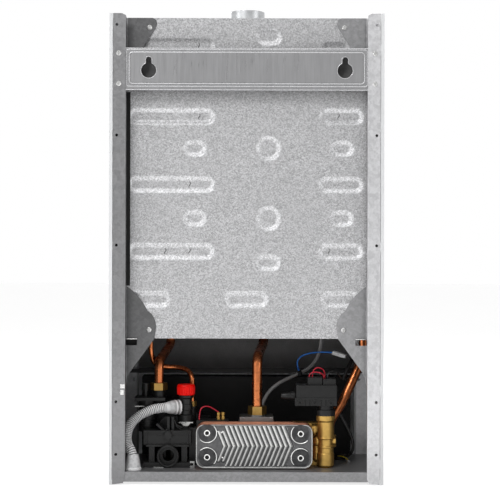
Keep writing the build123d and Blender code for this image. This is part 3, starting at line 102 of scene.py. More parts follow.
class Tree:
    """The node tree of a new material or of a given owner, with short calls that make and join its nodes."""

    def __init__(self, name, owner=None):
        self.owner = owner or bpy.data.materials.new(name)
        self.owner.use_nodes = True
        self.nodes = self.owner.node_tree.nodes
        self.links = self.owner.node_tree.links
        self.shader = self.nodes.get("Principled BSDF")
        self.coords = None

    def put(self, socket, value):
        """A link for a socket, a set value for anything else."""
        if isinstance(value, bpy.types.NodeSocket):
            self.links.new(value, socket)
        else:
            socket.default_value = value

    def add(self, kind, sockets=None, **values):
        """A new node with its settings and what goes into its sockets."""
        node = self.nodes.new(kind)
        for name, value in values.items():
            setattr(node, name, value)
        for name, value in (sockets or {}).items():
            self.put(node.inputs[name], value)
        return node

    def place(self, stretch=EVEN):
        """The point being shaded, in metres in the row frame, stretched along each axis."""
        if self.coords is None:
            self.coords = self.add("ShaderNodeTexCoord").outputs["Object"]
        if stretch == EVEN:
            return self.coords
        return self.add("ShaderNodeMapping", {"Vector": self.coords, "Scale": stretch}).outputs["Vector"]

    def split(self):
        """The x, y and z of the point being shaded."""
        return self.add("ShaderNodeSeparateXYZ", {0: self.place()}).outputs

    def tone(self):
        """The number stored at each point of a mesh by set_tone."""
        return self.add("ShaderNodeAttribute", attribute_name="tone").outputs["Fac"]

    def noise(self, size_mm, detail=2.0, rough=0.5, stretch=EVEN, warp=0.0):
        return self.add("ShaderNodeTexNoise", {
            "Vector": self.place(stretch), "Scale": 1.0 / (size_mm * MM), "Detail": detail, "Roughness": rough,
            "Distortion": warp}).outputs["Fac"]

    def cells(self, size_mm, output="Color", stretch=EVEN, feature="F1"):
        return self.add("ShaderNodeTexVoronoi", {"Vector": self.place(stretch), "Scale": 1.0 / (size_mm * MM)},
                        feature=feature).outputs[output]

    def ramp(self, factor, stops):
        node = self.add("ShaderNodeValToRGB", {"Fac": factor})
        ramp = node.color_ramp
        while len(ramp.elements) < len(stops):
            ramp.elements.new(0.5)
        for element, (position, colour) in zip(ramp.elements, stops):
            element.position = position
            element.color = (*colour, 1.0)
        return node.outputs["Color"]

    def vary(self, factor, colour, low, high, start=0.3, end=0.7):
        """A colour that goes from one brightness to another as a factor rises."""
        return self.ramp(factor, [(start, shade(colour, low)), (end, shade(colour, high))])

    def span(self, factor, low, high, from_low=0.0, from_high=1.0):
        return self.add("ShaderNodeMapRange", {"Value": factor, "From Min": from_low, "From Max": from_high,
                                               "To Min": low, "To Max": high}).outputs["Result"]

    def math(self, operation, first, second=0.0):
        return self.add("ShaderNodeMath", {0: first, 1: second}, operation=operation).outputs["Value"]

    def all_of(self, *factors):
        """One where every factor is one."""
        product = factors[0]
        for factor in factors[1:]:
            product = self.math("MULTIPLY", product, factor)
        return product

    def mix(self, factor, first, second):
        return self.add("ShaderNodeMix", {"Factor": factor, 6: full(first), 7: full(second)},
                        data_type="RGBA").outputs[2]

    def bump(self, height, depth_mm, strength=1.0, over=None):
        node = self.add("ShaderNodeBump", {"Strength": strength, "Distance": depth_mm * MM, "Height": height})
        if over is not None:
            self.put(node.inputs["Normal"], over)
        return node.outputs["Normal"]

    def rounded(self, radius_mm):
        """The surface's direction with its sharp edges rounded off."""
        return self.add("ShaderNodeBevel", {"Radius": radius_mm * MM}, samples=6).outputs["Normal"]

    def edges(self, radius_mm):
        """One along sharp edges and nought elsewhere, for wear."""
        across = self.add("ShaderNodeVectorMath", {
            0: self.rounded(radius_mm), 1: self.add("ShaderNodeNewGeometry").outputs["Normal"]},
            operation="DOT_PRODUCT").outputs["Value"]
        return self.span(self.math("SUBTRACT", 1.0, across), 0.0, 1.0, 0.02, 0.35)

    def seen(self):
        """One for what the camera, gloss and glass see, nought for the light that falls on things."""
        path = self.add("ShaderNodeLightPath").outputs
        seen = self.math("MAXIMUM", path["Is Camera Ray"], path["Is Glossy Ray"])
        return self.math("MAXIMUM", seen, path["Is Transmission Ray"])

    def finish(self, colour, rough, normal=None, **values):
        self.put(self.shader.inputs["Base Color"], full(colour))
        self.put(self.shader.inputs["Roughness"], rough)
        if normal is not None:
            self.put(self.shader.inputs["Normal"], normal)
        for name, value in values.items():
            self.put(self.shader.inputs[name.replace("_", " ")], value)
        return self.owner


# Materials
def speckled(name, colour, swing, rough, fine_mm=0.6, broad_mm=9.0, depth_mm=0.02, edge_mm=0.3,
             edge_light=1.15, **values):
    """Moulded or painted surface: broad and fine colour variation, grain, and edges lightened by edge_light: wear, and
    on the black plastic and composite a painted highlight.
    """
    tree = Tree(name)
    broad = tree.noise(broad_mm, 4.0, 0.6)
    fine = tree.noise(fine_mm, 2.0, 0.6)
    tone = tree.mix(0.45, *(tree.vary(noise, colour, 1 - swing, 1 + swing) for noise in (broad, fine)))
    tone = tree.mix(tree.edges(edge_mm), tone, shade(colour, edge_light))
    roughness = tree.span(broad, rough * 0.85, min(1.0, rough * 1.15), 0.3, 0.7)
    return tree.finish(tone, roughness, tree.bump(fine, depth_mm, 0.5, tree.rounded(edge_mm)), **values)


def zinc(name, level, cell_mm, contrast, rough, metallic=0.85, streak=EVEN, edge_mm=0.4, bump=0.3, inner=None,
         slope_highlight=None):
    """Zinc-plated sheet: crystals of differing brightness, broad dulling, bright edges.

    inner gives a half width in millimetres and how much darker the sheet is within it: painted shade on the set-back
    ears of the side frames. The last factor says how much brighter the sheet is where the stored tone is one: a painted
    highlight on the walls of pressings.
    """
    tree = Tree(name)
    tint = (1.0, 1.0, 1.02)
    crystal, small = (tree.add("ShaderNodeSeparateColor", {"Color": tree.cells(size, stretch=streak)}).outputs["Red"]
                      for size in (cell_mm, cell_mm * 0.43))
    broad = tree.noise(60.0, 4.0, 0.6)
    pattern = tree.math("ADD", tree.math("MULTIPLY", crystal, 0.6), tree.math("MULTIPLY", small, 0.4))
    dark, pale = (tuple(part * level * (1 + swing) for part in tint) for swing in (-contrast, contrast))

    def crystals(factor):
        return tree.ramp(pattern, [(0.15, shade(dark, factor)), (0.85, shade(pale, factor))])

    tone = tree.mix(tree.span(broad, 0.0, 0.35, 0.35, 0.75), crystals(1.0), shade(tint, level * 0.88))
    tone = tree.mix(tree.edges(edge_mm), tone, shade(tint, min(0.95, level * 1.3)))
    # Painted highlight: brighter crystals where the stored tone is one, on the steep walls of pressings.
    if slope_highlight:
        tone = tree.mix(tree.tone(), tone, crystals(slope_highlight))
    # Painted shade: within the half width, where the frames' ears stand back from the rails, the crystals are darker.
    if inner:
        half_width, darker = inner
        within = tree.math("LESS_THAN", tree.math("ABSOLUTE", tree.split()["X"]), half_width * MM)
        tone = tree.mix(within, tone, crystals(darker))
    roughness = tree.span(pattern, rough * 0.8, rough * 1.2)
    return tree.finish(tone, roughness, tree.bump(pattern, 0.02, bump, tree.rounded(edge_mm)), Metallic=metallic)


def enamel(name, inside=None):
    """White powder coat with its fine orange peel; inside is the near-black colour painted over the cover's inner face
    as its shade.
    """
    tree = Tree(name)
    tone = tree.vary(tree.noise(80.0, 3.0, 0.5), (0.78, 0.79, 0.80), 0.97, 1.02)
    rough = tree.span(tree.noise(6.0, 3.0), 0.26, 0.36, 0.3, 0.7)
    if inside:
        half_width, front, low, high = 208.7, -256.9, 153.3, 718.7
        place = tree.split()
        # Painted shade: on the cover's inner face the colour goes near black, and the coat is rougher.
        dull = tree.all_of(tree.math("LESS_THAN", tree.math("ABSOLUTE", place["X"]), half_width * MM),
                           tree.math("GREATER_THAN", place["Y"], front * MM),
                           tree.math("LESS_THAN", place["Z"], at(0, 0, high).z),
                           tree.math("GREATER_THAN", place["Z"], at(0, 0, low).z))
        tone = tree.mix(dull, tone, tree.vary(tree.noise(1.6, 3.0, 0.7), inside, 0.85, 1.15))
        rough = tree.math("ADD", rough, tree.math("MULTIPLY", dull, 0.2))
    return tree.finish(tone, rough, tree.bump(tree.noise(1.3, 2.0, 0.4), 0.03, 0.25, tree.rounded(0.5)),
                       Coat_Weight=0.15, Coat_Roughness=0.2)


def tube_metal(name, colour, tarnish, rough):
    """Drawn pipe: bright, with darker heat and handling marks and fine lengthwise lines."""
    tree = Tree(name)
    patches = tree.noise(14.0, 5.0, 0.65, warp=0.6)
    lines = tree.noise(0.9, 2.0, 0.6, stretch=(1.0, 1.0, 0.08))
    tone = tree.ramp(patches, [(0.3, tarnish), (0.5, colour), (0.75, shade(colour, 1.12))])
    tone = tree.mix(tree.span(lines, 0.0, 0.35, 0.45, 0.8), tone, tarnish)
    roughness = tree.span(patches, rough * 1.5, rough * 0.8, 0.3, 0.7)
    return tree.finish(tone, roughness, tree.bump(lines, 0.02, 0.3, tree.rounded(0.3)), Metallic=1.0)


def cast_metal(name, colour, rough, grain_mm=0.7, depth_mm=0.08, edge_light=1.35):
    """Forged or die-cast metal: sand-like skin, dull hollows and bright machined edges; on the gas valve's casting the
    bright edges are also a painted highlight.
    """
    tree = Tree(name)
    broad = tree.noise(11.0, 5.0, 0.65)
    grain = tree.noise(grain_mm, 3.0, 0.6)
    tone = tree.ramp(broad, [(0.28, shade(colour, 0.75)), (0.55, colour), (0.8, shade(colour, 1.1))])
    tone = tree.mix(tree.edges(0.5), tone, shade(colour, edge_light))
    roughness = tree.span(grain, rough * 0.8, rough * 1.25, 0.3, 0.7)
    return tree.finish(tone, roughness, tree.bump(grain, depth_mm, 0.5, tree.rounded(0.4)), Metallic=0.95)


def board(name):
    """Printed board: solder-mask green with its tracks and pads."""
    tree = Tree(name)
    tracks = tree.span(tree.cells(4.5, "Distance", feature="DISTANCE_TO_EDGE"), 1.0, 0.0, 0.02, 0.07)
    tone = tree.mix(tracks, (0.015, 0.11, 0.04), (0.05, 0.22, 0.09))
    pads = tree.span(tree.cells(3.2, "Distance"), 1.0, 0.0, 0.10, 0.16)
    tone = tree.mix(pads, tone, (0.62, 0.61, 0.55))
    return tree.finish(tone, tree.span(pads, 0.45, 0.25), tree.bump(tracks, 0.05, 0.4))


def clear(name, colour):
    """Glass with a little dust on it."""
    tree = Tree(name)
    dust = tree.noise(5.0, 4.0, 0.7)
    return tree.finish(tree.vary(dust, colour, 0.92, 1.0, 0.4, 0.7), tree.span(dust, 0.05, 0.15, 0.4, 0.8),
                       Transmission_Weight=0.9, IOR=1.45)


def plate_face(name):
    """Pressed stainless face coloured by the tone of each point: painted highlights on ridges, rims, rings and dimples,
    painted shade in valleys, on the port lands and over the lower half.
    """
    tree = Tree(name)
    fine = tree.noise(0.9, 3.0, 0.6)
    shade_of = tree.math("ADD", tree.tone(), tree.span(tree.noise(7.0, 4.0, 0.6), -0.06, 0.06, 0.3, 0.7))
    colour = tree.ramp(shade_of, [(0.05, (0.028, 0.028, 0.029)), (0.35, (0.13, 0.13, 0.132)),
                                  (0.65, (0.42, 0.42, 0.41)), (0.95, (0.80, 0.80, 0.79))])
    return tree.finish(colour, tree.span(fine, 0.26, 0.38, 0.3, 0.7), tree.bump(fine, 0.015, 0.3), Metallic=0.85)


def plate_side(name):
    """Stack of brazed plates from the side: copper in the seams and run over the edges, steel between."""
    tree = Tree(name)
    stripe = tree.math("FRACT", tree.math("MULTIPLY", tree.split()["Y"], 1 / (PLATE_PITCH * MM)))
    smear = tree.noise(9.0, 4.0, 0.65)
    steel = tree.all_of(tree.span(stripe, 0.0, 1.0, 0.55, 0.62), tree.span(smear, 1.0, 0.0, 0.42, 0.55))
    copper = tree.ramp(smear, [(0.3, (0.36, 0.14, 0.08)), (0.7, (0.66, 0.31, 0.20))])
    return tree.finish(tree.mix(steel, copper, (0.55, 0.54, 0.53)), tree.span(smear, 0.28, 0.45),
                       tree.bump(tree.noise(0.8, 2.0), 0.03, 0.3), Metallic=0.95)


def ribbed_plastic(name):
    """Pale soft plastic coloured by the tone of each point: painted shade in the grooves between its ribs and in its
    bore, painted highlight on crests and rims.
    """
    tree = Tree(name)
    tone = tree.tone()
    soft = tree.noise(5.0, 3.0, 0.6)
    mixed = tree.math("ADD", tone, tree.span(soft, -0.10, 0.10, 0.3, 0.7))
    colour = tree.ramp(mixed, [(0.10, (0.16, 0.16, 0.163)), (0.50, (0.78, 0.785, 0.79)), (0.85, (0.97, 0.97, 0.975))])
    return tree.finish(colour, tree.span(soft, 0.30, 0.42, 0.3, 0.7), tree.bump(soft, 0.02, 0.3),
                       Transmission_Weight=0.10, IOR=1.4)


def marked_plastic(name, colour, mark):
    """Knob plastic with a painted pointer line on the upper end of its grip."""
    tree = Tree(name)
    place = tree.split()
    off = tree.math("SUBTRACT", tree.math("ABSOLUTE", place["X"]), KNOB_OFFSET * MM)
    painted = tree.all_of(tree.math("LESS_THAN", tree.math("ABSOLUTE", off), 0.9 * MM),
                          tree.math("LESS_THAN", place["Y"], -272.5 * MM),
                          tree.math("GREATER_THAN", place["Z"], at(0, 0, KNOB_HEIGHT + 6.0).z))
    fine = tree.noise(0.8, 3.0, 0.6)
    tone = tree.vary(tree.noise(9.0, 4.0, 0.6), colour, 0.9, 1.1)
    tone = tree.mix(tree.edges(0.4), tone, shade(colour, 1.6))
    return tree.finish(tree.mix(painted, tone, mark), tree.span(fine, 0.38, 0.52, 0.3, 0.7),
                       tree.bump(fine, 0.03, 0.4, tree.rounded(0.3)))


looks = {
    # Painted light and shade: the two side frames are one zinc at two brightnesses, the right frame darker and the left
    # paler, for how the light falls on them.
    "frame_painted_shade": zinc("rail_zinc_painted_shade", 0.21, 5.0, 0.12, 0.42, 0.75, inner=(184.5, 0.50)),
    "frame_painted_light": zinc("rail_zinc_painted_light", 0.52, 5.0, 0.12, 0.42, 0.75, inner=(184.5, 0.50)),
    "white_enamel": enamel("white_enamel"),
    # Painted shade inside the front cover.
    "cover_enamel": enamel("cover_enamel", (0.008, 0.008, 0.0085)),
    "bracket_steel": zinc("bracket_zinc", 0.285, 2.2, 0.05, 0.33, 0.85, streak=(1.0, 1.0, 0.05)),
    # Painted highlight: the bracket's rims and keyhole edges in a brighter, glossier copy of its zinc.
    "bracket_rim": zinc("bracket_rim_zinc", 0.46, 2.2, 0.05, 0.28, 0.85),
    "bracket_scratch": zinc("bracket_scratch_zinc", 0.14, 2.2, 0.05, 0.45, 0.6),
    "spangled_zinc": zinc("spangled_zinc", 0.47, 1.6, 0.40, 0.40, 0.25, bump=0.10),
    # Painted highlight on the walls of the rear panel's pressings.
    "pressed_zinc": zinc("pressed_zinc", 0.46, 1.6, 0.40, 0.40, 0.25, bump=0.10, slope_highlight=1.30),
    "tray_steel": zinc("tray_zinc", 0.24, 3.2, 0.16, 0.45, 0.75),
    "pressed_stainless": zinc("pressed_stainless", 0.60, 1.4, 0.06, 0.28, 0.95, edge_mm=0.35),
    "plate_face": plate_face("plate_face"),
    "plate_side": plate_side("plate_side"),
    "screw_steel": cast_metal("bright_zinc", (0.66, 0.66, 0.65), 0.22, 0.5, 0.02),
    "dull_screw": cast_metal("dull_screw_zinc", (0.46, 0.46, 0.455), 0.30, 0.5, 0.03, 1.2),
    "clip_steel": cast_metal("spring_steel", (0.25, 0.25, 0.245), 0.26, 0.5, 0.02),
    "flue_aluminium": cast_metal("spun_aluminium", (0.51, 0.52, 0.53), 0.32, 0.4, 0.02),
    # Painted highlight: the gas valve's casting has its edges made much lighter.
    "dull_casting": cast_metal("dull_casting", (0.20, 0.195, 0.19), 0.38, 0.7, 0.05, 1.8),
    "brass": cast_metal("forged_brass", (0.42, 0.265, 0.075), 0.42, 0.9, 0.06),
    "aged_brass": cast_metal("aged_brass", (0.30, 0.185, 0.055), 0.38, 0.7, 0.04),
    "copper": tube_metal("copper", (0.42, 0.135, 0.050), (0.18, 0.052, 0.020), 0.25),
    "burner_steel": tube_metal("heat_tinted_steel", (0.42, 0.38, 0.35), (0.16, 0.12, 0.13), 0.35),
    "sight_glass": clear("heat_glass", (0.85, 0.90, 0.88)),
    "board_green": board("printed_board"),
    "ribbed_plastic": ribbed_plastic("ribbed_plastic"),
    "marked_plastic": marked_plastic("knob_plastic", (0.075, 0.078, 0.082), (0.85, 0.85, 0.84)),
    "hose_plastic": speckled("hose_plastic", (0.74, 0.745, 0.75), 0.05, 0.34, Transmission_Weight=0.12, IOR=1.4),
    "ceramic_board": speckled("ceramic_fibre", (0.80, 0.77, 0.69), 0.12, 0.9, 1.2, 12.0, 0.2),
    "seal_rubber": speckled("seal_rubber", grey(0.018), 0.3, 0.75),
    # Painted shade: the near-black sheet of the panel's side strips and of the plate behind the ear's slot.
    "edge_seal": speckled("edge_seal", grey(0.022), 0.3, 0.7, Specular_IOR_Level=0.15),
    # Painted shade: the dark grey of the boxes behind the keyholes.
    "shroud_board": speckled("shroud_board", grey(0.16), 0.3, 0.7, Specular_IOR_Level=0.15),
    "cover_liner": speckled("cover_liner", grey(0.21), 0.2, 0.8, 1.6, 30.0, Specular_IOR_Level=0.1),
    # Painted shade: the zinc front crossbar in near black for the shade it stands in.
    "shaded_steel": speckled("crossbar_painted_shade", grey(0.022), 0.2, 0.6, Specular_IOR_Level=0.2),
    "dark_crease": speckled("press_mark", grey(0.10), 0.3, 0.5),
    # Painted highlight: black plastic and composite take edges several times lighter.
    "black_plastic": speckled("black_plastic", grey(0.007), 0.30, 0.42, edge_light=3.2, Specular_IOR_Level=0.16),
    "composite": speckled("glass_filled_polymer", grey(0.010), 0.40, 0.36, 0.8, 7.0, 0.04, 0.5, 2.6,
                          Specular_IOR_Level=0.22),
    "housing_shell": speckled("housing_shell", grey(0.005), 0.25, 0.55, Specular_IOR_Level=0.15),
    "red_paint": speckled("red_gloss_paint", (0.42, 0.015, 0.01), 0.08, 0.22, depth_mm=0.01),
    "red_plastic": speckled("red_cap", (0.90, 0.004, 0.001), 0.03, 0.42, depth_mm=0.01, edge_light=1.05,
                            Specular_IOR_Level=0.2),
    "grey_plastic": speckled("grey_plastic", (0.11, 0.115, 0.12), 0.10, 0.45),
    "white_plastic": speckled("white_plastic", (0.74, 0.75, 0.76), 0.03, 0.36, depth_mm=0.01),
    "display_glass": speckled("display_window", (0.012, 0.016, 0.02), 0.2, 0.08, depth_mm=0.004),
    "print_ink": speckled("print_ink", grey(0.05), 0.2, 0.5, 0.4, 3.0, 0.002),
    "lit_digits": speckled("lit_digits", (0.30, 0.68, 0.86), 0.08, 0.4, 0.4, 3.0, 0.002),
    "grey_sheath": speckled("grey_sheath", grey(0.27), 0.08, 0.45),
}
for look, name, colour, swing, rough in (("blue_wire", "blue_insulation", (0.010, 0.19, 0.72), 0.06, 0.35),
                                         ("red_wire", "red_insulation", (0.55, 0.008, 0.03), 0.08, 0.35),
                                         ("yellow_wire", "yellow_insulation", (0.55, 0.42, 0.02), 0.08, 0.35),
                                         ("black_wire", "black_sheath", grey(0.015), 0.10, 0.40)):
    looks[look] = speckled(name, colour, swing, rough, 0.5, 6.0, 0.01, 0.2)
# CAD nodes whose look isn't that of their slot
own_look = {
    "retaining_clips": "clip_steel",
    "gas_valve": "dull_casting",
    "chassis_screws": "dull_screw",
    "heating_knob": "marked_plastic",
    "water_knob": "marked_plastic",
    "union_nuts": "aged_brass",
    "front_crossbar": "shaded_steel",
    "side_frame_right": "frame_painted_shade",
    "side_frame_left": "frame_painted_light",
    "front_cover": "cover_enamel",
    "control_housing": "housing_shell",
}
slots = {part["node"]: part["material_slot"] for part in frame["record"]["subparts"]}
for node, cad_object in frame["nodes"].items():
    cad_object.data.materials.clear()
    cad_object.data.materials.append(looks[own_look.get(node, slots[node])])

# Floor, background and lamps. The camera, gloss and glass see both as white; the floor takes the object's shadow.
scene_objects = bpy.context.scene.collection.objects
pale = Tree("pale_floor")
pale.shader.inputs["Emission Color"].default_value = (1.0, 1.0, 1.0, 1.0)
floor_material = pale.finish(
    pale.ramp(pale.noise(400.0, 3.0), [(0.3, grey(0.80)), (0.7, grey(0.84))]), 0.9,
    pale.bump(pale.noise(3.0, 2.0), 0.1, 0.1), Emission_Strength=pale.math("MULTIPLY", pale.seen(), 0.72))
floor_mesh = bpy.data.meshes.new("floor")
floor_mesh.from_pydata([at(x, y, -1.0) for x, y in ((-9000, -12000), (9000, -12000), (9000, 9000), (-9000, 9000))],
                       [], [(0, 1, 2, 3)])
floor_mesh.materials.append(floor_material)
floor = bpy.data.objects.new("floor", floor_mesh)
scene_objects.link(floor)

AMBIENT = 0.22
air = Tree("studio", bpy.data.worlds.new("studio"))
bpy.context.scene.world = air.owner
room = air.nodes["Background"]
room.inputs["Color"].default_value = (1.0, 1.0, 1.0, 1.0)
air.put(room.inputs["Strength"], air.span(air.seen(), AMBIENT, 1.0))


def lamp(name, place, target, size, power):
    data = bpy.data.lights.new(name, "AREA")
    data.shape = "RECTANGLE"
    data.size = size[0] * MM
    data.size_y = size[1] * MM
    data.energy = power
    holder = bpy.data.objects.new(name, data)
    holder.location = at(*place)
    holder.rotation_mode = "QUATERNION"
    holder.rotation_quaternion = (at(*target) - at(*place)).to_track_quat("-Z", "Y")
    scene_objects.link(holder)


lamp("key", (1150, 2100, 2150), (0, 0, 380), (800, 800), 30.0)
lamp("photo_left", (2100, 1150, 520), (0, 0, 360), (900, 1300), 11.0)
lamp("photo_right", (-2100, 1150, 520), (0, 0, 360), (900, 1300), 8.0)
lamp("front", (900, -2300, 1300), (0, 0, 350), (1600, 1600), 30.0)
lamp("top", (0, 1000, 2600), (0, 0, 450), (1600, 900), 10.0)
lamp("floor_glow", (0, 400, 4), (0, 400, 900), (1000, 440), 1.5)
bpy.data.objects["floor_glow"].visible_camera = False


# Making pieces
def settle(piece, look, slot, body="chassis", replaced=()):
    """Gives a new piece its material, and lets it ride on its body; slot is not used."""
    scene_objects.link(piece)
    piece.data.materials.append(looks[look])
    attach(piece, body)
    if replaced:
        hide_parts(*replaced)
    return piece


def mesh_piece(points, faces, name, *how, **more):
    """A smoothly shaded piece from points in casing millimetres and faces; its name, look and slot follow, and the slot
    is not used.
    """
    mesh = bpy.data.meshes.new(name)
    mesh.from_pydata([at(*point) for point in points], [], faces)
    mesh.validate()
    mesh.shade_smooth()
    return settle(bpy.data.objects.new(name, mesh), *how, **more)


def set_tone(piece, values):
    attribute = piece.data.attributes.new("tone", "FLOAT", "POINT")
    attribute.data.foreach_set("value", np.asarray(values, np.float32))


def sharp_by_angle(piece, degrees, weld=False):
    """Smooth shading that keeps edges sharper than an angle crisp; weld first joins points that meet."""
    fix = bmesh.new()
    fix.from_mesh(piece.data)
    if weld:
        bmesh.ops.remove_doubles(fix, verts=fix.verts, dist=1e-6)
        bmesh.ops.recalc_face_normals(fix, faces=fix.faces)
        fix.normal_update()
    for edge in fix.edges:
        edge.smooth = len(edge.link_faces) != 2 or edge.calc_face_angle() < math.radians(degrees)
    for face in fix.faces:
        face.smooth = True
    fix.to_mesh(piece.data)
    fix.free()


def grid_faces(rows, columns, start=0, wrap=False):
    """Faces of a grid of points, row by row; wrap joins the last column to the first."""
    faces = []
    for row in range(rows - 1):
        near, far = start + row * columns, start + (row + 1) * columns
        for column in range(columns if wrap else columns - 1):
            following = (column + 1) % columns
            faces.append((near + column, near + following, far + following, far + column))
    return faces


def sheet_piece(front, back, rows, columns, tones, *how, **more):
    """A thin sheet from the points of its front and its back, with the edge between them and a tone for each."""
    count = rows * columns
    faces = grid_faces(rows, columns)
    faces += [tuple(count + corner for corner in reversed(face)) for face in faces]
    border = (list(range(columns)) + [row * columns + columns - 1 for row in range(1, rows)]
              + [(rows - 1) * columns + column for column in range(columns - 2, -1, -1)]
              + [row * columns for row in range(rows - 2, 0, -1)])
    faces += [(here, following, count + following, count + here)
              for here, following in zip(border, border[1:] + border[:1])]
    made = mesh_piece(front + back, faces, *how, **more)
    set_tone(made, np.tile(tones.ravel(), 2))
    return made


def frame_at(direction):
    """Two unit vectors square to a direction and to each other."""
    direction = Vector(direction).normalized()
    steady = Vector((0.0, 0.0, 1.0))
    if abs(direction.dot(steady)) > 0.95:
        steady = Vector((1.0, 0.0, 0.0))
    across = direction.cross(steady).normalized()
    return across, across.cross(direction).normalized()


def circle(middle, across, up, radius, sides):
    turns = [2 * math.pi * side / sides for side in range(sides)]
    return [middle + across * (radius * math.cos(turn)) + up * (radius * math.sin(turn)) for turn in turns]


class Shape:
    """Collects points and faces of several simple forms in one mesh."""

    def __init__(self):
        self.points = []
        self.faces = []

    def rings(self, rings, close=True):
        """Skin over rings of points, one after another; close fills the first and the last."""
        first, sides = len(self.points), len(rings[0])
        last = first + (len(rings) - 1) * sides
        self.points += [tuple(point) for ring in rings for point in ring]
        self.faces += grid_faces(len(rings), sides, first, wrap=True)
        if close:
            self.faces += [tuple(range(first, first + sides)), tuple(range(last, last + sides))]
        return self

    def lathe(self, profile, start, direction=(0, 0, 1), sides=40, close=False):
        """Form turned about a line, from (radius, distance) points."""
        across, up = frame_at(direction)
        along = Vector(direction).normalized()
        return self.rings([circle(Vector(start) + along * distance, across, up, radius, sides)
                           for radius, distance in profile], close)

    def box(self, x, y, z, bevel=0.0):
        """Box between limits with its edges along y bevelled."""
        return self.prism([(x[0] + bevel, z[0]), (x[1] - bevel, z[0]), (x[1], z[0] + bevel), (x[1], z[1] - bevel),
                           (x[1] - bevel, z[1]), (x[0] + bevel, z[1]), (x[0], z[1] - bevel), (x[0], z[0] + bevel)], y)

    def prism(self, outline, y):
        """Flat outline of (x, z) points pushed from y[0] to y[1]."""
        return self.rings([[(px, depth, pz) for px, pz in outline] for depth in y])

    def sweep(self, path, radius, sides=16, close=True):
        """Round tube along points, with one radius or one for each point."""
        path = [Vector(point) for point in path]
        radii = radius if hasattr(radius, "__len__") else [radius] * len(path)
        across = frame_at(path[1] - path[0])[0]
        rings = []
        for index, point in enumerate(path):
            ahead = (path[min(index + 1, len(path) - 1)] - path[max(index - 1, 0)]).normalized()
            across = (across - ahead * across.dot(ahead)).normalized()
            rings.append(circle(point, across, ahead.cross(across), radii[index], sides))
        return self.rings(rings, close)

    def piece(self, *how, **more):
        made = mesh_piece(self.points, self.faces, *how, **more)
        sharp_by_angle(made, 38.0, weld=True)
        return made


def as_mesh(data):
    """The mesh that a curve or a text makes."""
    holder = bpy.data.objects.new(data.name, data)
    scene_objects.link(holder)
    bpy.context.view_layer.update()
    mesh = bpy.data.meshes.new_from_object(holder)
    bpy.data.objects.remove(holder)
    return mesh


def route_curve(name, points, steps):
    """A smooth curve through a route's control points."""
    line = bpy.data.curves.new(name, "CURVE")
    line.dimensions = "3D"
    line.resolution_u = steps
    spline = line.splines.new("NURBS")
    spline.points.add(len(points) - 1)
    for knot, point in zip(spline.points, points):
        knot.co = (*at(*point), 1.0)
    spline.order_u = 3
    spline.use_endpoint_u = True
    spline.use_smooth = True
    return line


def spline_points(points, steps):
    """The points that a smooth route through control points follows, in metres."""
    return [vertex.co.copy() for vertex in as_mesh(route_curve("route", points, steps)).vertices]


def casing_place(point):
    """Casing millimetres of a point in metres."""
    return (Vector(point) - at(0, 0, 0)) / MM


def even_points(found, spacing):
    """Points a fixed distance apart along a line of points, in casing millimetres, and the line's length."""
    found = [casing_place(point) for point in found]
    lengths = [0.0]
    for before, after in zip(found, found[1:]):
        lengths.append(lengths[-1] + (after - before).length)
    total = lengths[-1]
    wanted = max(2, round(total / spacing))
    spaced = []
    segment = 0
    for index in range(wanted + 1):
        target = total * index / wanted
        while segment < len(lengths) - 2 and lengths[segment + 1] < target:
            segment += 1
        share = (target - lengths[segment]) / max(1e-9, lengths[segment + 1] - lengths[segment])
        spaced.append(found[segment].lerp(found[segment + 1], share))
    return spaced, total


def lead(name, route, diameter, look, slot="grey_sheath", replaced=()):
    """Flexible lead, a round tube along a smooth route through its control points."""
    line = route_curve(name, route, 16)
    line.bevel_depth = diameter / 2 * MM
    line.bevel_resolution = 5
    line.use_fill_caps = True
    made = settle(bpy.data.objects.new(name, line), look, slot, replaced=replaced)
    found = spline_points(route, 24)


def smooth(share):
    share = np.clip(share, 0.0, 1.0)
    return share * share * (3 - 2 * share)


def round_corners(middle, half, corner, radius, steps):
    """Points in x and z round a rectangle with round corners; corner is how far in their middles are."""
    points = []
    for quarter, (side_x, side_z) in enumerate(((1, 1), (-1, 1), (-1, -1), (1, -1))):
        corner_x = middle[0] + side_x * (half[0] - corner)
        corner_z = middle[1] + side_z * (half[1] - corner)
        for step in range(steps + 1):
            turn = math.radians(90 * quarter + 90 * step / steps)
            points.append((corner_x + radius * math.cos(turn), corner_z + radius * math.sin(turn)))
    return points


# Rear panel, pressed from one sheet
panel_back, panel_low, panel_high, panel_half, panel_step = -25.0, 221.6, 716.0, 203.3, 2.0
press_depth, press_wall, press_radius = 4.0, 7.0, 13.0
disc_x, disc_radius, disc_wall = -33.5, 19.3, 6.0
right_end, left_end = 184.5, -181.0
presses = [(49, right_end, 674.5), (left_end + 23, left_end + 68, 669), (-53, -12.5, 339), (-54, -13, 688),
           (right_end - 67.5, right_end, 282), (-34, 34, 282), (left_end + 7, left_end + 67, 282)]
for row_z in (565, 459.5, 356):
    presses += [(49, right_end, row_z), (left_end, left_end + 70.5, row_z)]
for row_z in (515.5, 407.5):
    presses += [(62, 99, row_z), (left_end + 15, left_end + 53.5, row_z)]
grid_x, grid_z = np.meshgrid(*(np.linspace(low, high, int((high - low) / panel_step) + 1)
                               for low, high in ((-panel_half, panel_half), (panel_low, panel_high))))
inward = []
for low_x, high_x, mid_z in presses:
    nearest = np.clip(grid_x, low_x + press_radius, high_x - press_radius)
    inward.append((press_radius - np.hypot(grid_x - nearest, grid_z - mid_z)) / press_wall)
for mid_z in (516, 407.5):
    inward.append((disc_radius - np.hypot(grid_x - disc_x, grid_z - mid_z)) / disc_wall)
share = np.clip(np.max(inward, axis=0), 0.0, 1.0)
pressed = press_depth * (0.55 * share + 0.45 * smooth(share))
wave = 0.10 * np.sin(grid_x / 41.0 + 1.3) * np.cos(grid_z / 57.0)
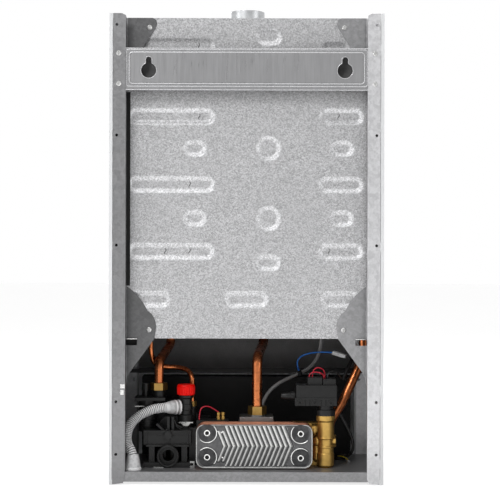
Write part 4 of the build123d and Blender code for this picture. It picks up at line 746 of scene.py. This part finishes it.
front = list(zip(grid_x.ravel(), (panel_back - 0.1 + wave - pressed).ravel(), grid_z.ravel()))
# The tone marks the steep walls of the pressings, which the pressed zinc paints brighter as a painted highlight.
steepness = np.hypot(*np.gradient(pressed, panel_step))
rear_panel = sheet_piece(front, [(x, y - 1.0, z) for x, y, z in front], *grid_x.shape,
                         smooth((steepness - 0.12) / 0.35), "pressed_rear_panel", "pressed_zinc", "spangled_zinc",
                         replaced=("rear_panel",))
sharp_by_angle(rear_panel, 60.0)
# Painted shadow: dark strips along the panel's sides, under the rails' lips, stand for the shadow the rails cast on it.
shade_strips = Shape()
for x_limits in ((180, 203), (-203, -187.5)):
    for z_limits in ((303, 602), (668, 715)):
        shade_strips.box(x_limits, (-25.3, -24.2), z_limits, 0.3)
shade_strips.piece("panel_edge_seals", "edge_seal", "seal_rubber")
returns = Shape()
for side in (-1, 1):
    returns.box(sorted((side * (panel_half - 1), side * panel_half)), (-170, -26.2), (222.8, panel_high))
returns.piece("rear_panel_returns", "spangled_zinc", "spangled_zinc")

# Short press marks in the pockets
creases = Shape()
for mark_x, mark_z in ((74.5, 674.5), (73.8, 565), (88.2, 459.5), (88.2, 356), (126, 356), (-142, 565), (-145, 669),
                       (-128, 356)):
    creases.sweep([(mark_x + 1.4 * math.sin(step * 1.3), panel_back - press_depth - 0.05, mark_z - 5 + step * 2)
                   for step in range(6)], [0.1, 0.5, 0.7, 0.6, 0.75, 0.1], 8)
creases.piece("press_marks", "dark_crease", "spangled_zinc")

# Brazed plate exchanger: the stack of plates, then the pressed face of the first
plate_x, plate_z = (-102.9, 77.5), (21.4, 88.8)
plate_corner, plate_floor, plate_front = 13.0, -25.0, -62.0
plate_mid = [(low + high) / 2 for low, high in (plate_x, plate_z)]
plate_half = [(high - low) / 2 for low, high in (plate_x, plate_z)]
straight_half = [half - plate_corner for half in plate_half]
ports = ((60.2, 75.5), (60.2, 38), (-84.6, 74.5), (-84.6, 37))
stack_levels = []
for index in range(9):
    top = plate_floor - 0.6 - PLATE_PITCH * index
    stack_levels += [(top - down, less) for down, less in ((0, 1.5), (0.3, 0.25), (0.8, 0), (1.8, 0), (2.3, 0.25),
                                                           (2.6, 1.5))]
stack_levels.append((plate_front, 1.6))
stack = Shape().rings([[(x, level, z) for x, z in round_corners(plate_mid, plate_half, plate_corner,
                                                                plate_corner - less, 8)]
                       for level, less in stack_levels])
stack = mesh_piece(stack.points, stack.faces, "exchanger_stack", "plate_side", "pressed_stainless",
                   replaced=("plate_exchanger",))
sharp_by_angle(stack, 50.0)

face_columns, face_rows, face_inset = 300, 118, 0.2
level_z = np.linspace(plate_z[0] + face_inset, plate_z[1] - face_inset, face_rows)
past = np.maximum(0.0, np.abs(level_z - plate_mid[1]) - straight_half[1])
half_at = plate_half[0] - face_inset - plate_corner + np.sqrt(np.maximum(0.0, plate_corner ** 2 - past ** 2))
face_x = plate_mid[0] + np.outer(half_at, np.linspace(-1.0, 1.0, face_columns))
face_z = np.repeat(level_z[:, None], face_columns, axis=1)
off_x, off_z = np.abs(face_x - plate_mid[0]), np.abs(face_z - plate_mid[1])
corner_x, corner_z = np.maximum(off_x - straight_half[0], 0.0), np.maximum(off_z - straight_half[1], 0.0)
edge = np.where((corner_x > 0) & (corner_z > 0), plate_corner - np.hypot(corner_x, corner_z),
                np.minimum(plate_half[0] - off_x, plate_half[1] - off_z))
rise = 1.6 * (1.0 - smooth((edge - 1.3) / 1.0))
# Painted highlight: the tone is higher towards the face's raised rim.
tone = 0.20 + 0.34 * (1.0 - smooth((edge - 1.4) / 0.9))
# Slanting ridges on both sides of the middle line, counted by phase from the one nearest to the +x ports
ridge_pitch, ridge_half, ridge_lean, ridge_first, first_phase, last_phase = 7.3, 31.8, 12.8, 40.6, -1.12, 14.05
phase = (ridge_first - (face_x + ridge_lean * (1.0 - off_z / ridge_half))) / ridge_pitch
ridge = np.clip((0.5 + 0.5 * np.cos(2 * np.pi * (phase - 0.25))) * 1.9 - 0.25, 0.0, 1.0)
# Painted highlight along one edge of each ridge top, painted shade in the valleys between them.
within = np.mod(phase, 1.0)
plateau = smooth((within + 0.04) / 0.12) * (1.0 - smooth((within - 0.60) / 0.14))
ridge_highlight = np.clip(1.0 - np.abs(within - 0.13) / 0.15, 0.0, 1.0)
inside = ((phase > first_phase) & (phase < last_phase)) * (1.0 - smooth((off_z - ridge_half + 1.2) / 1.2))
inside *= np.where(phase < 0.88, 1.0 - smooth((off_z - 23.0) / 2.0), 1.0)
rise = np.maximum(rise, 2.0 * ridge * inside)
# Painted shade: the ridges of the lower half are a fifth darker.
lower_half_shade = np.where(face_z < plate_mid[1], 0.80, 1.0)
tone = np.where(inside > 0.3, (0.15 + 0.50 * plateau + 0.12 * ridge_highlight) * lower_half_shade, tone)
# Painted highlight on the two dimples.
for dimple_x, dimple_z in ((37.5, 76.5), (36.5, 37.5)):
    dimple = 1.0 - smooth((np.hypot(face_x - dimple_x, face_z - dimple_z) - 0.9) / 0.9)
    rise = np.maximum(rise, 1.5 * dimple)
    tone = np.maximum(tone, 0.9 * dimple)
# Painted shade on each port's flat land, painted highlight on its raised ring.
for port_x, port_z in ports:
    away = np.hypot(face_x - port_x, face_z - port_z)
    inner_side = 1.0 if port_x > 0 else -1.0
    middle_side = 1.0 if port_z < plate_mid[1] else -1.0
    toward = np.arctan2((face_z - port_z) * middle_side, (port_x - face_x) * inner_side)
    arc = (smooth((toward + 0.9) / 0.2) - smooth((toward - 2.3) / 0.2)) * (edge > 1.8)
    ring = (1.0 - smooth((np.abs(away - 14.8) - 0.4) / 0.6)) * arc
    land = 1.0 - smooth((away - 13.4) / 0.5)
    rise = np.maximum(np.where(land > 0.5, 0.3, rise), 2.2 * ring)
    tone = np.maximum(tone * (1 - land) + 0.08 * land, ring)
front = list(zip(face_x.ravel(), (plate_floor + rise).ravel(), face_z.ravel()))
sheet_piece(front, [(x, plate_floor - 0.9, z) for x, y, z in front], face_rows, face_columns, tone,
            "exchanger_face", "plate_face", "pressed_stainless")
# Painted shade: a black disc in each hollow rivet stands for the dark of its bore.
rivets, bore_shades = Shape(), Shape()
for port_x, port_z in ports:
    on_face = (port_x, plate_floor + 0.1, port_z)
    rivets.lathe([(2.7, 0), (2.9, 1.9), (3.4, 2.4), (4.4, 2.5), (5.1, 2), (5.4, 1.2), (5.4, 0)], on_face, (0, 1, 0))
    rivets.lathe([(10, 0), (10, 4), (6, 4), (6, 0)], (port_x, plate_front, port_z), (0, -1, 0))
    bore_shades.lathe([(3.35, 0), (3.35, 0.8)], on_face, (0, 1, 0), close=True)
rivets.piece("exchanger_rivets", "screw_steel", "pressed_stainless")
bore_shades.piece("exchanger_port_plugs", "black_plastic", "pressed_stainless")

# Discharge hose with its pressed-on ends
hose_points = [(127.97, -70, 109), (142.02, -63.45, 109), (157, -58, 104), (170, -53, 97), (180.5, -46, 87),
               (185.5, -38.5, 73), (184.5, -30.5, 57), (174.5, -22, 45), (174.5, -22, 30)]
hose_line = spline_points(hose_points, 60)
hose_step, hose_sides, rib_pitch, hose_root, hose_crest, hose_bore = 0.3, 28, 2.9, 6.1, 7.6, 5.6
hose_path, hose_length = even_points(hose_line, hose_step)
crests = [(0.5 - 0.5 * math.cos(2 * math.pi * index * hose_step / rib_pitch)) ** 0.8 for index in range(len(hose_path))]
hose = Shape().sweep(hose_path, [hose_root + (hose_crest - hose_root) * crest for crest in crests], hose_sides,
                     close=False)
hose = hose.sweep(hose_path, hose_bore, hose_sides, close=False).piece(
    "ribbed_hose", "ribbed_plastic", "hose_plastic", replaced=("discharge_hose",))
# Painted shade: the tone follows the ribs, pale on the crests and grey in the grooves, and nought inside the bore.
rib_shade_tones = np.repeat(crests, hose_sides)
set_tone(hose, np.concatenate([rib_shade_tones, np.zeros_like(rib_shade_tones)]))
cuff_turn = math.radians(25.0)
cuff_way = Vector((math.cos(cuff_turn), math.sin(cuff_turn), 0.0))
cuff_start = Vector((95.8 + 11 * math.cos(cuff_turn), -85 + 11 * math.sin(cuff_turn), 109))
hose_ends = Shape().lathe(
    [(5.7, 0), (11.2, 0), (11.5, 0.3), (11.5, 2.7), (11.2, 3), (10.5, 3.3), (10.5, 5.7), (11.2, 6), (11.5, 6.3),
     (11.5, 8.7), (11.2, 9), (10.8, 13), (9.4, 18.5), (8.2, 22), (7.7, 24.3), (7.4, 24.6), (5.7, 24.6)],
    cuff_start, cuff_way, 48).lathe(
    [(5.6, 19.3), (12.7, 19.3), (13, 19.6), (13, 22.2), (12.7, 22.5), (12, 23.8), (11.7, 26), (10.8, 31), (9.7, 37),
     (8.7, 42), (7.9, 43), (5.6, 43)], (174.5, -22, 0), (0, 0, 1), 48).piece(
    "hose_ends", "ribbed_plastic", "hose_plastic")
# Painted light and shade on the hose's ends: their rims pale, the faces between them greyer.
end_light_and_shade = []
for vertex in hose_ends.data.vertices:
    place = casing_place(vertex.co)
    along = (place - cuff_start).dot(cuff_way)
    if place.z < 44:
        end_light_and_shade.append(1.0 if place.z < 22.8 else 0.45)
    elif along < 9.2:
        end_light_and_shade.append(1.0 if (place - cuff_start - cuff_way * along).length > 11.3 else 0.25)
    else:
        end_light_and_shade.append(0.40 if 11 < along < 19 else 0.70)
set_tone(hose_ends, end_light_and_shade)

# Grey cable with its tie and the plug on the gas valve
valve_plug = Shape().box((-34.5, -15.5), (-122, -110.3), (84, 92), 1.2).box(
    (-32, -18), (-121, -111.3), (92, 95), 0.8).box((-36, -34.5), (-119, -113.3), (86, 90.5), 0.4).piece(
    "gas_valve_plug", "black_plastic", "black_plastic")
tie_before, tie_after = Vector((-89.5, -138.9, 158.8)), Vector((-82.5, -136.2, 156.2))
cable_tie = Shape().lathe([(3, 0), (4.4, 0), (4.4, 7), (3, 7)], tie_before, (tie_after - tie_before).normalized(),
                          32).box((-89, -84), (-134.5, -131.5), (154, 160), 0.8).piece(
    "cable_tie", "black_plastic", "black_plastic", replaced=("sensor_leads",))
lead("grey_cable_sheath", [(-123, -150, 251.6), (-123, -150, 214), (-121, -149, 195), (-114, -147, 178),
                           (-104, -144, 166.5), (-90, -139, 159), (-72, -132, 152), (-53, -125, 143.5),
                           (-37, -118, 131), (-28, -115, 116), (-25, -114, 103), (-25, -114, 95)],
     5.6, "grey_sheath", replaced=("grey_cable",))

# Blue lead from the tie to the white connector, and on behind the pipes
plug_start, plug_end = Vector((-141, -130, 192)), Vector((-161.5, -121, 186.5))
plug_way = (plug_end - plug_start).normalized()
plug_up = Vector((0, 0, 1))
plug_up = (plug_up - plug_way * plug_up.dot(plug_way)).normalized()
plug_side = plug_way.cross(plug_up)
white_plug = Shape()
for near, far, half_side, half_up in ((0, 10.5, 4, 3), (10.9, 22.8, 4, 3), (4, 18, 1.6, 3.5)):
    white_plug.rings([[plug_start + plug_way * distance + plug_side * (side * half_side) + plug_up * (lift * half_up)
                       for side, lift in ((-1, -0.8), (-0.8, -1), (0.8, -1), (1, -0.8), (1, 0.8), (0.8, 1), (-0.8, 1),
                                          (-1, 0.8))] for distance in (near, far)])
white_plug = white_plug.piece("lead_connector", "white_plastic", "white_plastic")
lead("blue_lead", [(-86, -137.5, 161), (-81.5, -138, 173), (-87, -140, 185), (-105, -138.5, 191), (-124, -134, 193),
                   (-141.5, -130, 192)], 2.2, "blue_wire")
lead("grey_tail", [(-161, -121, 186.5), (-168, -117, 183.5), (-174, -112, 178), (-173.5, -108, 171)], 3.0,
     "black_wire")

# Leads of the actuator, the pipe sensor, the meter and earth
lead("red_lead_1", [(-104, -60, 159.4), (-104, -60, 168), (-111, -62, 174.5), (-120, -63, 172), (-124, -64, 166),
                    (-124, -64, 157.4)], 1.8, "red_wire")
lead("red_lead_2", [(-99, -57, 159.4), (-99, -57, 163.5), (-105, -57.5, 167.5), (-115, -57, 166.5),
                    (-122, -56, 162.5), (-122, -56, 157.4)], 1.8, "red_wire")
rod_start, rod_end = Vector((-153.3, -90.5, 150.5)), Vector((-169.3, -99.5, 184))
rod_length = (rod_end - rod_start).length
pipe_sensor = Shape().lathe([(1.2, 0), (2.6, 0.2), (3, 0.8), (3, rod_length - 0.8), (2.6, rod_length - 0.2),
                             (1.2, rod_length)], rod_start, (rod_end - rod_start).normalized(), 28, True).piece(
    "pipe_sensor", "black_plastic", "black_plastic")
lead("sensor_lead", [(-128, -66, 157.4), (-128, -66, 165), (-138, -72, 168), (-147, -80, 161), (-152, -90, 153)], 2.6,
     "black_wire")
lead("black_cable", [(-137, -76, 121), (-137, -90, 121), (-143, -104, 109), (-152, -110, 93), (-163, -111, 73),
                     (-171, -111, 55), (-173, -112, 39), (-168, -116, 27.5), (-158, -123, 23.5)], 4.8, "black_wire")
terminals = Shape()
for pin_x in (36.7, 43.9):
    terminals.lathe([(2.9, 90), (2.9, 94.6), (2.5, 95), (2.5, 96.4), (2.9, 96.8), (2.9, 100.8), (2.5, 101.2)],
                    (pin_x, -78, 0), sides=28, close=True)
terminals = terminals.piece("meter_terminals", "brass", "brass")
lead("meter_lead", [(74, -70, 90), (74, -70, 99), (71, -72, 110), (60, -75, 111.5), (51, -77.5, 106),
                    (44, -78, 101.5)], 1.8, "red_wire")
Shape().lathe([(11, 19.3), (11, 24), (10.4, 24.6), (7.2, 24.8), (7, 25.2), (7, 26.8), (6.6, 27.2)],
              (-150, -130, 0), sides=32, close=True).piece("cable_gland", "black_plastic", "black_plastic")
Shape().lathe([(3.5, 19.3), (3.5, 21.9), (3.1, 22.2)], (-163, -100, 0), sides=6, close=True).piece(
    "earth_tag", "screw_steel", "screw_steel")
lead("earth_lead", [(-163, -100, 22.2), (-162, -101, 25), (-152, -104, 28), (-146, -112, 27), (-150, -122.8, 24.2)],
     1.8, "yellow_wire")
sensing_line = spline_points([(50, -39, 622), (50, -60, 622), (50, -84, 622), (36, -84, 622), (22.3, -84, 622)], 20)
Shape().sweep(even_points(sensing_line, 2.0)[0], 3.0, 20).piece("sensing_tube", "hose_plastic", "hose_plastic")

# Rims pressed into the hanging bracket, in a brighter zinc as painted highlights, and dark boxes behind its keyholes as
# painted shade
rims = Shape()
for half_x, low, high, corner, depth, radius in ((179.6, 612.6, 660.6, 5, -0.75, 1.05),
                                                 (184, 608.6, 664.6, 3, -1.35, 0.9)):
    loop = round_corners((0, (low + high) / 2), (half_x, (high - low) / 2), corner, corner, 6)
    rims.sweep([(x, depth, z) for x, z in loop + loop[:1]], radius, 10, close=False)
for rim_z in (666.6, 603.2):
    rims.sweep([(-200, -1.3, rim_z), (200, -1.3, rim_z)], 0.75, 10)
rims.piece("bracket_rims", "bracket_rim", "bracket_steel")
keyhole_x, keyhole_z, keyhole_r, slot_z, slot_r, rim_gap = 150.0, 632.7, 11.7, 649.0, 4.6, 0.3
start = math.asin(slot_r / keyhole_r)
# Painted shade: a dark grey open box behind each keyhole stands for the shade inside the bracket.
keyholes, shade_boxes = Shape(), Shape()
for middle_x in (-keyhole_x, keyhole_x):
    outline = [(middle_x + (keyhole_r + rim_gap) * math.sin(turn), keyhole_z + (keyhole_r + rim_gap) * math.cos(turn))
               for turn in np.linspace(start, 2 * math.pi - start, 48)]
    outline += [(middle_x - (slot_r + rim_gap) * math.cos(turn), slot_z + (slot_r + rim_gap) * math.sin(turn))
                for turn in np.linspace(0.0, math.pi, 18)]
    keyholes.sweep([(x, -0.35, z) for x, z in outline + outline[:1]], 0.55, 8, close=False)
    # The walls stand a little off each other: points that meet would be joined and spoil the shading.
    left, right, low, high = middle_x - 15, middle_x + 15, keyhole_z - 14.5, slot_z + 7.5
    shade_boxes.box((left, right), (-16, -15), (low, high))
    for z_limits in ((low - 0.1, low + 1), (high - 1, high + 0.1)):
        shade_boxes.box((left, right), (-15.2, -2.6), z_limits, 0.1)
    for wall_x in (left, right - 1):
        shade_boxes.box((wall_x, wall_x + 1), (-15.2, -2.7), (low + 0.3, high - 0.3), 0.1)
# Painted highlight: the keyhole rims take the brighter rim zinc.
keyholes.piece("keyhole_rims", "bracket_rim", "bracket_steel")
shade_boxes.piece("keyhole_shrouds", "shroud_board", "black_plastic")
scratches = Shape()
for mark_x, mark_z, reach in ((66, 651, 14), (73, 646, 9), (84, 649, 12), (-7, 654, 15), (-9.5, 652, 10),
                              (-57, 655, 12), (-60, 655, 8), (110, 640, 7)):
    scratches.sweep([(mark_x + side, -0.17, mark_z - reach * share) for side, share in ((0, 0), (0.8, 0.5), (1, 1))],
                    [0.05, 0.28, 0.05], 6)
scratches.piece("bracket_scratches", "bracket_scratch", "bracket_steel")
Shape().box((185.6, 192.2), (-0.9, 0.4), (147, 153), 0.3).box((187, 192), (-0.9, 0.4), (137, 144.5), 0.3).piece(
    "rail_tab", "screw_steel", "screw_steel")
# Painted shade: a grey sheet over the inside of the front cover stands for the shade there.
Shape().box((-206.5, 206.5), (-256.9, -256.3), (153.5, 712)).piece(
    "cover_liner", "cover_liner", "seal_rubber", body="front_cover")

# Moulded detail on the composite block
block_face = -50.1
moulding = Shape().box((87, 160), (block_face, -48.9), (68.6, 70.2), 0.2)
moulding.box((87, 112), (block_face, -49.2), (56, 57), 0.2)
moulding.lathe([(6.6, 0), (6.6, 2.6), (6, 3.2), (4.4, 3.2), (4, 2.6), (4, 0.4), (0.4, 0.2)],
               (122, block_face, 69), (0, 1, 0), 32)
for step in range(6):
    turn = math.radians(60 * step + 15)
    middle_x, middle_z = 122 + 8.6 * math.cos(turn), 69 + 8.6 * math.sin(turn)
    moulding.box((middle_x - 1.2, middle_x + 1.2), (block_face, -48.4), (middle_z - 1.2, middle_z + 1.2), 0.3)
for x_limits in ((96, 109), (133, 156)):
    moulding.box(x_limits, (block_face, -48.6), (73.7, 75.3), 0.2)
for middle_x in (91, 156):
    moulding.box((middle_x - 1, middle_x + 1), (block_face, -47.6), (54.5, 75), 0.3)
moulding.lathe([(16.6, 0), (17.4, 0.6), (17.4, 2.4), (16.6, 3)], (121.7, -40, 36.9), (0, 1, 0), 48)
moulding.lathe([(14.3, 0), (14.9, 0.5), (15.6, 0.5), (16.2, 0)], (121.7, -36.1, 36.9), (0, 1, 0), 48)
for place_x, place_y, levels, profile in (
        (157.5, -90, (76.5, 83, 88.5, 94), [(14.05, 0), (15, 0.5), (15, 1.6), (14.05, 2.1)]),
        (95.8, -85, (72, 78.5, 84.5), [(13.05, 0), (13.9, 0.4), (13.9, 1.3), (13.05, 1.7)])):
    for level in levels:
        moulding.lathe(profile, (place_x, place_y, level))
moulding.sweep([(110, -56.5, 82), (104, -56.5, 78), (100, -56.5, 71)], 1.6, 10)
moulding.sweep([(113, -52.5, 92), (109, -52.5, 84), (100, -52.5, 80)], 1.2, 10)
moulding.piece("block_moulding", "composite", "composite")
# Painted shade: a near-black plate behind the ear's slot stands for the shade inside.
Shape().box((167, 190), (-31, -30.2), (207, 221), 0.5).piece("ear_slot_shade", "edge_seal", "seal_rubber")
# Painted highlight: a bright strip along the top of each ear's slot.
lit_lips = Shape()
for x_limits in ((-188, -168.5), (168.5, 188)):
    lit_lips.box(x_limits, (-21, -20.2), (220.6, 221.6), 0.2)
lit_lips.piece("ear_slot_lips", "screw_steel", "frame_steel")


# Printed scales of the control panel, the gauge's dial and the display's digits
def tick(shape, middle, turn, inner_r, outer_r, width, y):
    """One mark of a scale, at a clockwise turn from the top."""
    along = (math.sin(turn), math.cos(turn))
    side = (along[1] * width / 2, -along[0] * width / 2)
    shape.prism([(middle[0] + along[0] * radius + way * side[0], middle[1] + along[1] * radius + way * side[1])
                 for radius, way in ((inner_r, -1), (inner_r, 1), (outer_r, 1), (outer_r, -1))], y)


def lettering(shape, text, middle, height, y):
    """Digits that read from the front, as a thin raised print."""
    letters = bpy.data.curves.new("letters", "FONT")
    letters.body = text
    letters.size = height / 0.7
    letters.align_x = "CENTER"
    letters.align_y = "CENTER"
    letters.resolution_u = 3
    letters.extrude = abs(y[1] - y[0]) / 2
    mesh = as_mesh(letters)
    first = len(shape.points)
    mid_y = (y[0] + y[1]) / 2
    shape.points += [(middle[0] + vertex.co.x, mid_y - vertex.co.z, middle[1] + vertex.co.y)
                     for vertex in mesh.vertices]
    shape.faces += [tuple(first + corner for corner in face.vertices) for face in mesh.polygons]


def printed_scale(shape, middle, start, count, every, long_tick, short_tick, digit_r, digit_height, y):
    """A scale over 270 degrees clockwise from its start, with count ticks and the digits 0 to 4."""
    for step in range(count):
        tick(shape, middle, math.radians(start + 270 / (count - 1) * step),
             *(short_tick if step % every else long_tick), y)
    for step in range(5):
        turn = math.radians(start + 67.5 * step)
        lettering(shape, str(step), (middle[0] + digit_r * math.sin(turn), middle[1] + digit_r * math.cos(turn)),
                  digit_height, y)


# The knobs' joints turn clockwise from the top through 270 degrees, so their scales start at the top.
panel_face = -258.0
marks = Shape()
for knob_x in (-KNOB_OFFSET, KNOB_OFFSET):
    printed_scale(marks, (knob_x, KNOB_HEIGHT), 0, 13, 3, (24.0, 27.4, 1.0), (24.0, 26.0, 1.0), 31.0, 5.4,
                  (panel_face - 0.15, panel_face + 0.1))
marks.piece("panel_scales", "print_ink", "white_plastic", body="control_panel")
gauge_mid = (-132.0, KNOB_HEIGHT)
Shape().lathe([(1.4, 0), (18.7, 0), (18.7, 0.2), (1.4, 0.2)], (gauge_mid[0], -254.85, gauge_mid[1]), (0, -1, 0),
              64).piece("gauge_dial", "white_plastic", "white_plastic", body="control_panel")
scale = Shape()
printed_scale(scale, gauge_mid, -135, 21, 5, (15.2, 18.0, 0.6), (16.6, 18.0, 0.35), 11.8, 3.0, (-255.2, -255.0))
scale.piece("gauge_scale", "print_ink", "white_plastic", body="control_panel")
digits = Shape()
lettering(digits, "55", (-3.0, KNOB_HEIGHT), 15.0, (-257.8, -257.5))
lettering(digits, "\u00b0", (14.5, KNOB_HEIGHT + 2.0), 15.0, (-257.8, -257.5))
digits.piece("display_digits", "lit_digits", "display_glass", body="control_panel")
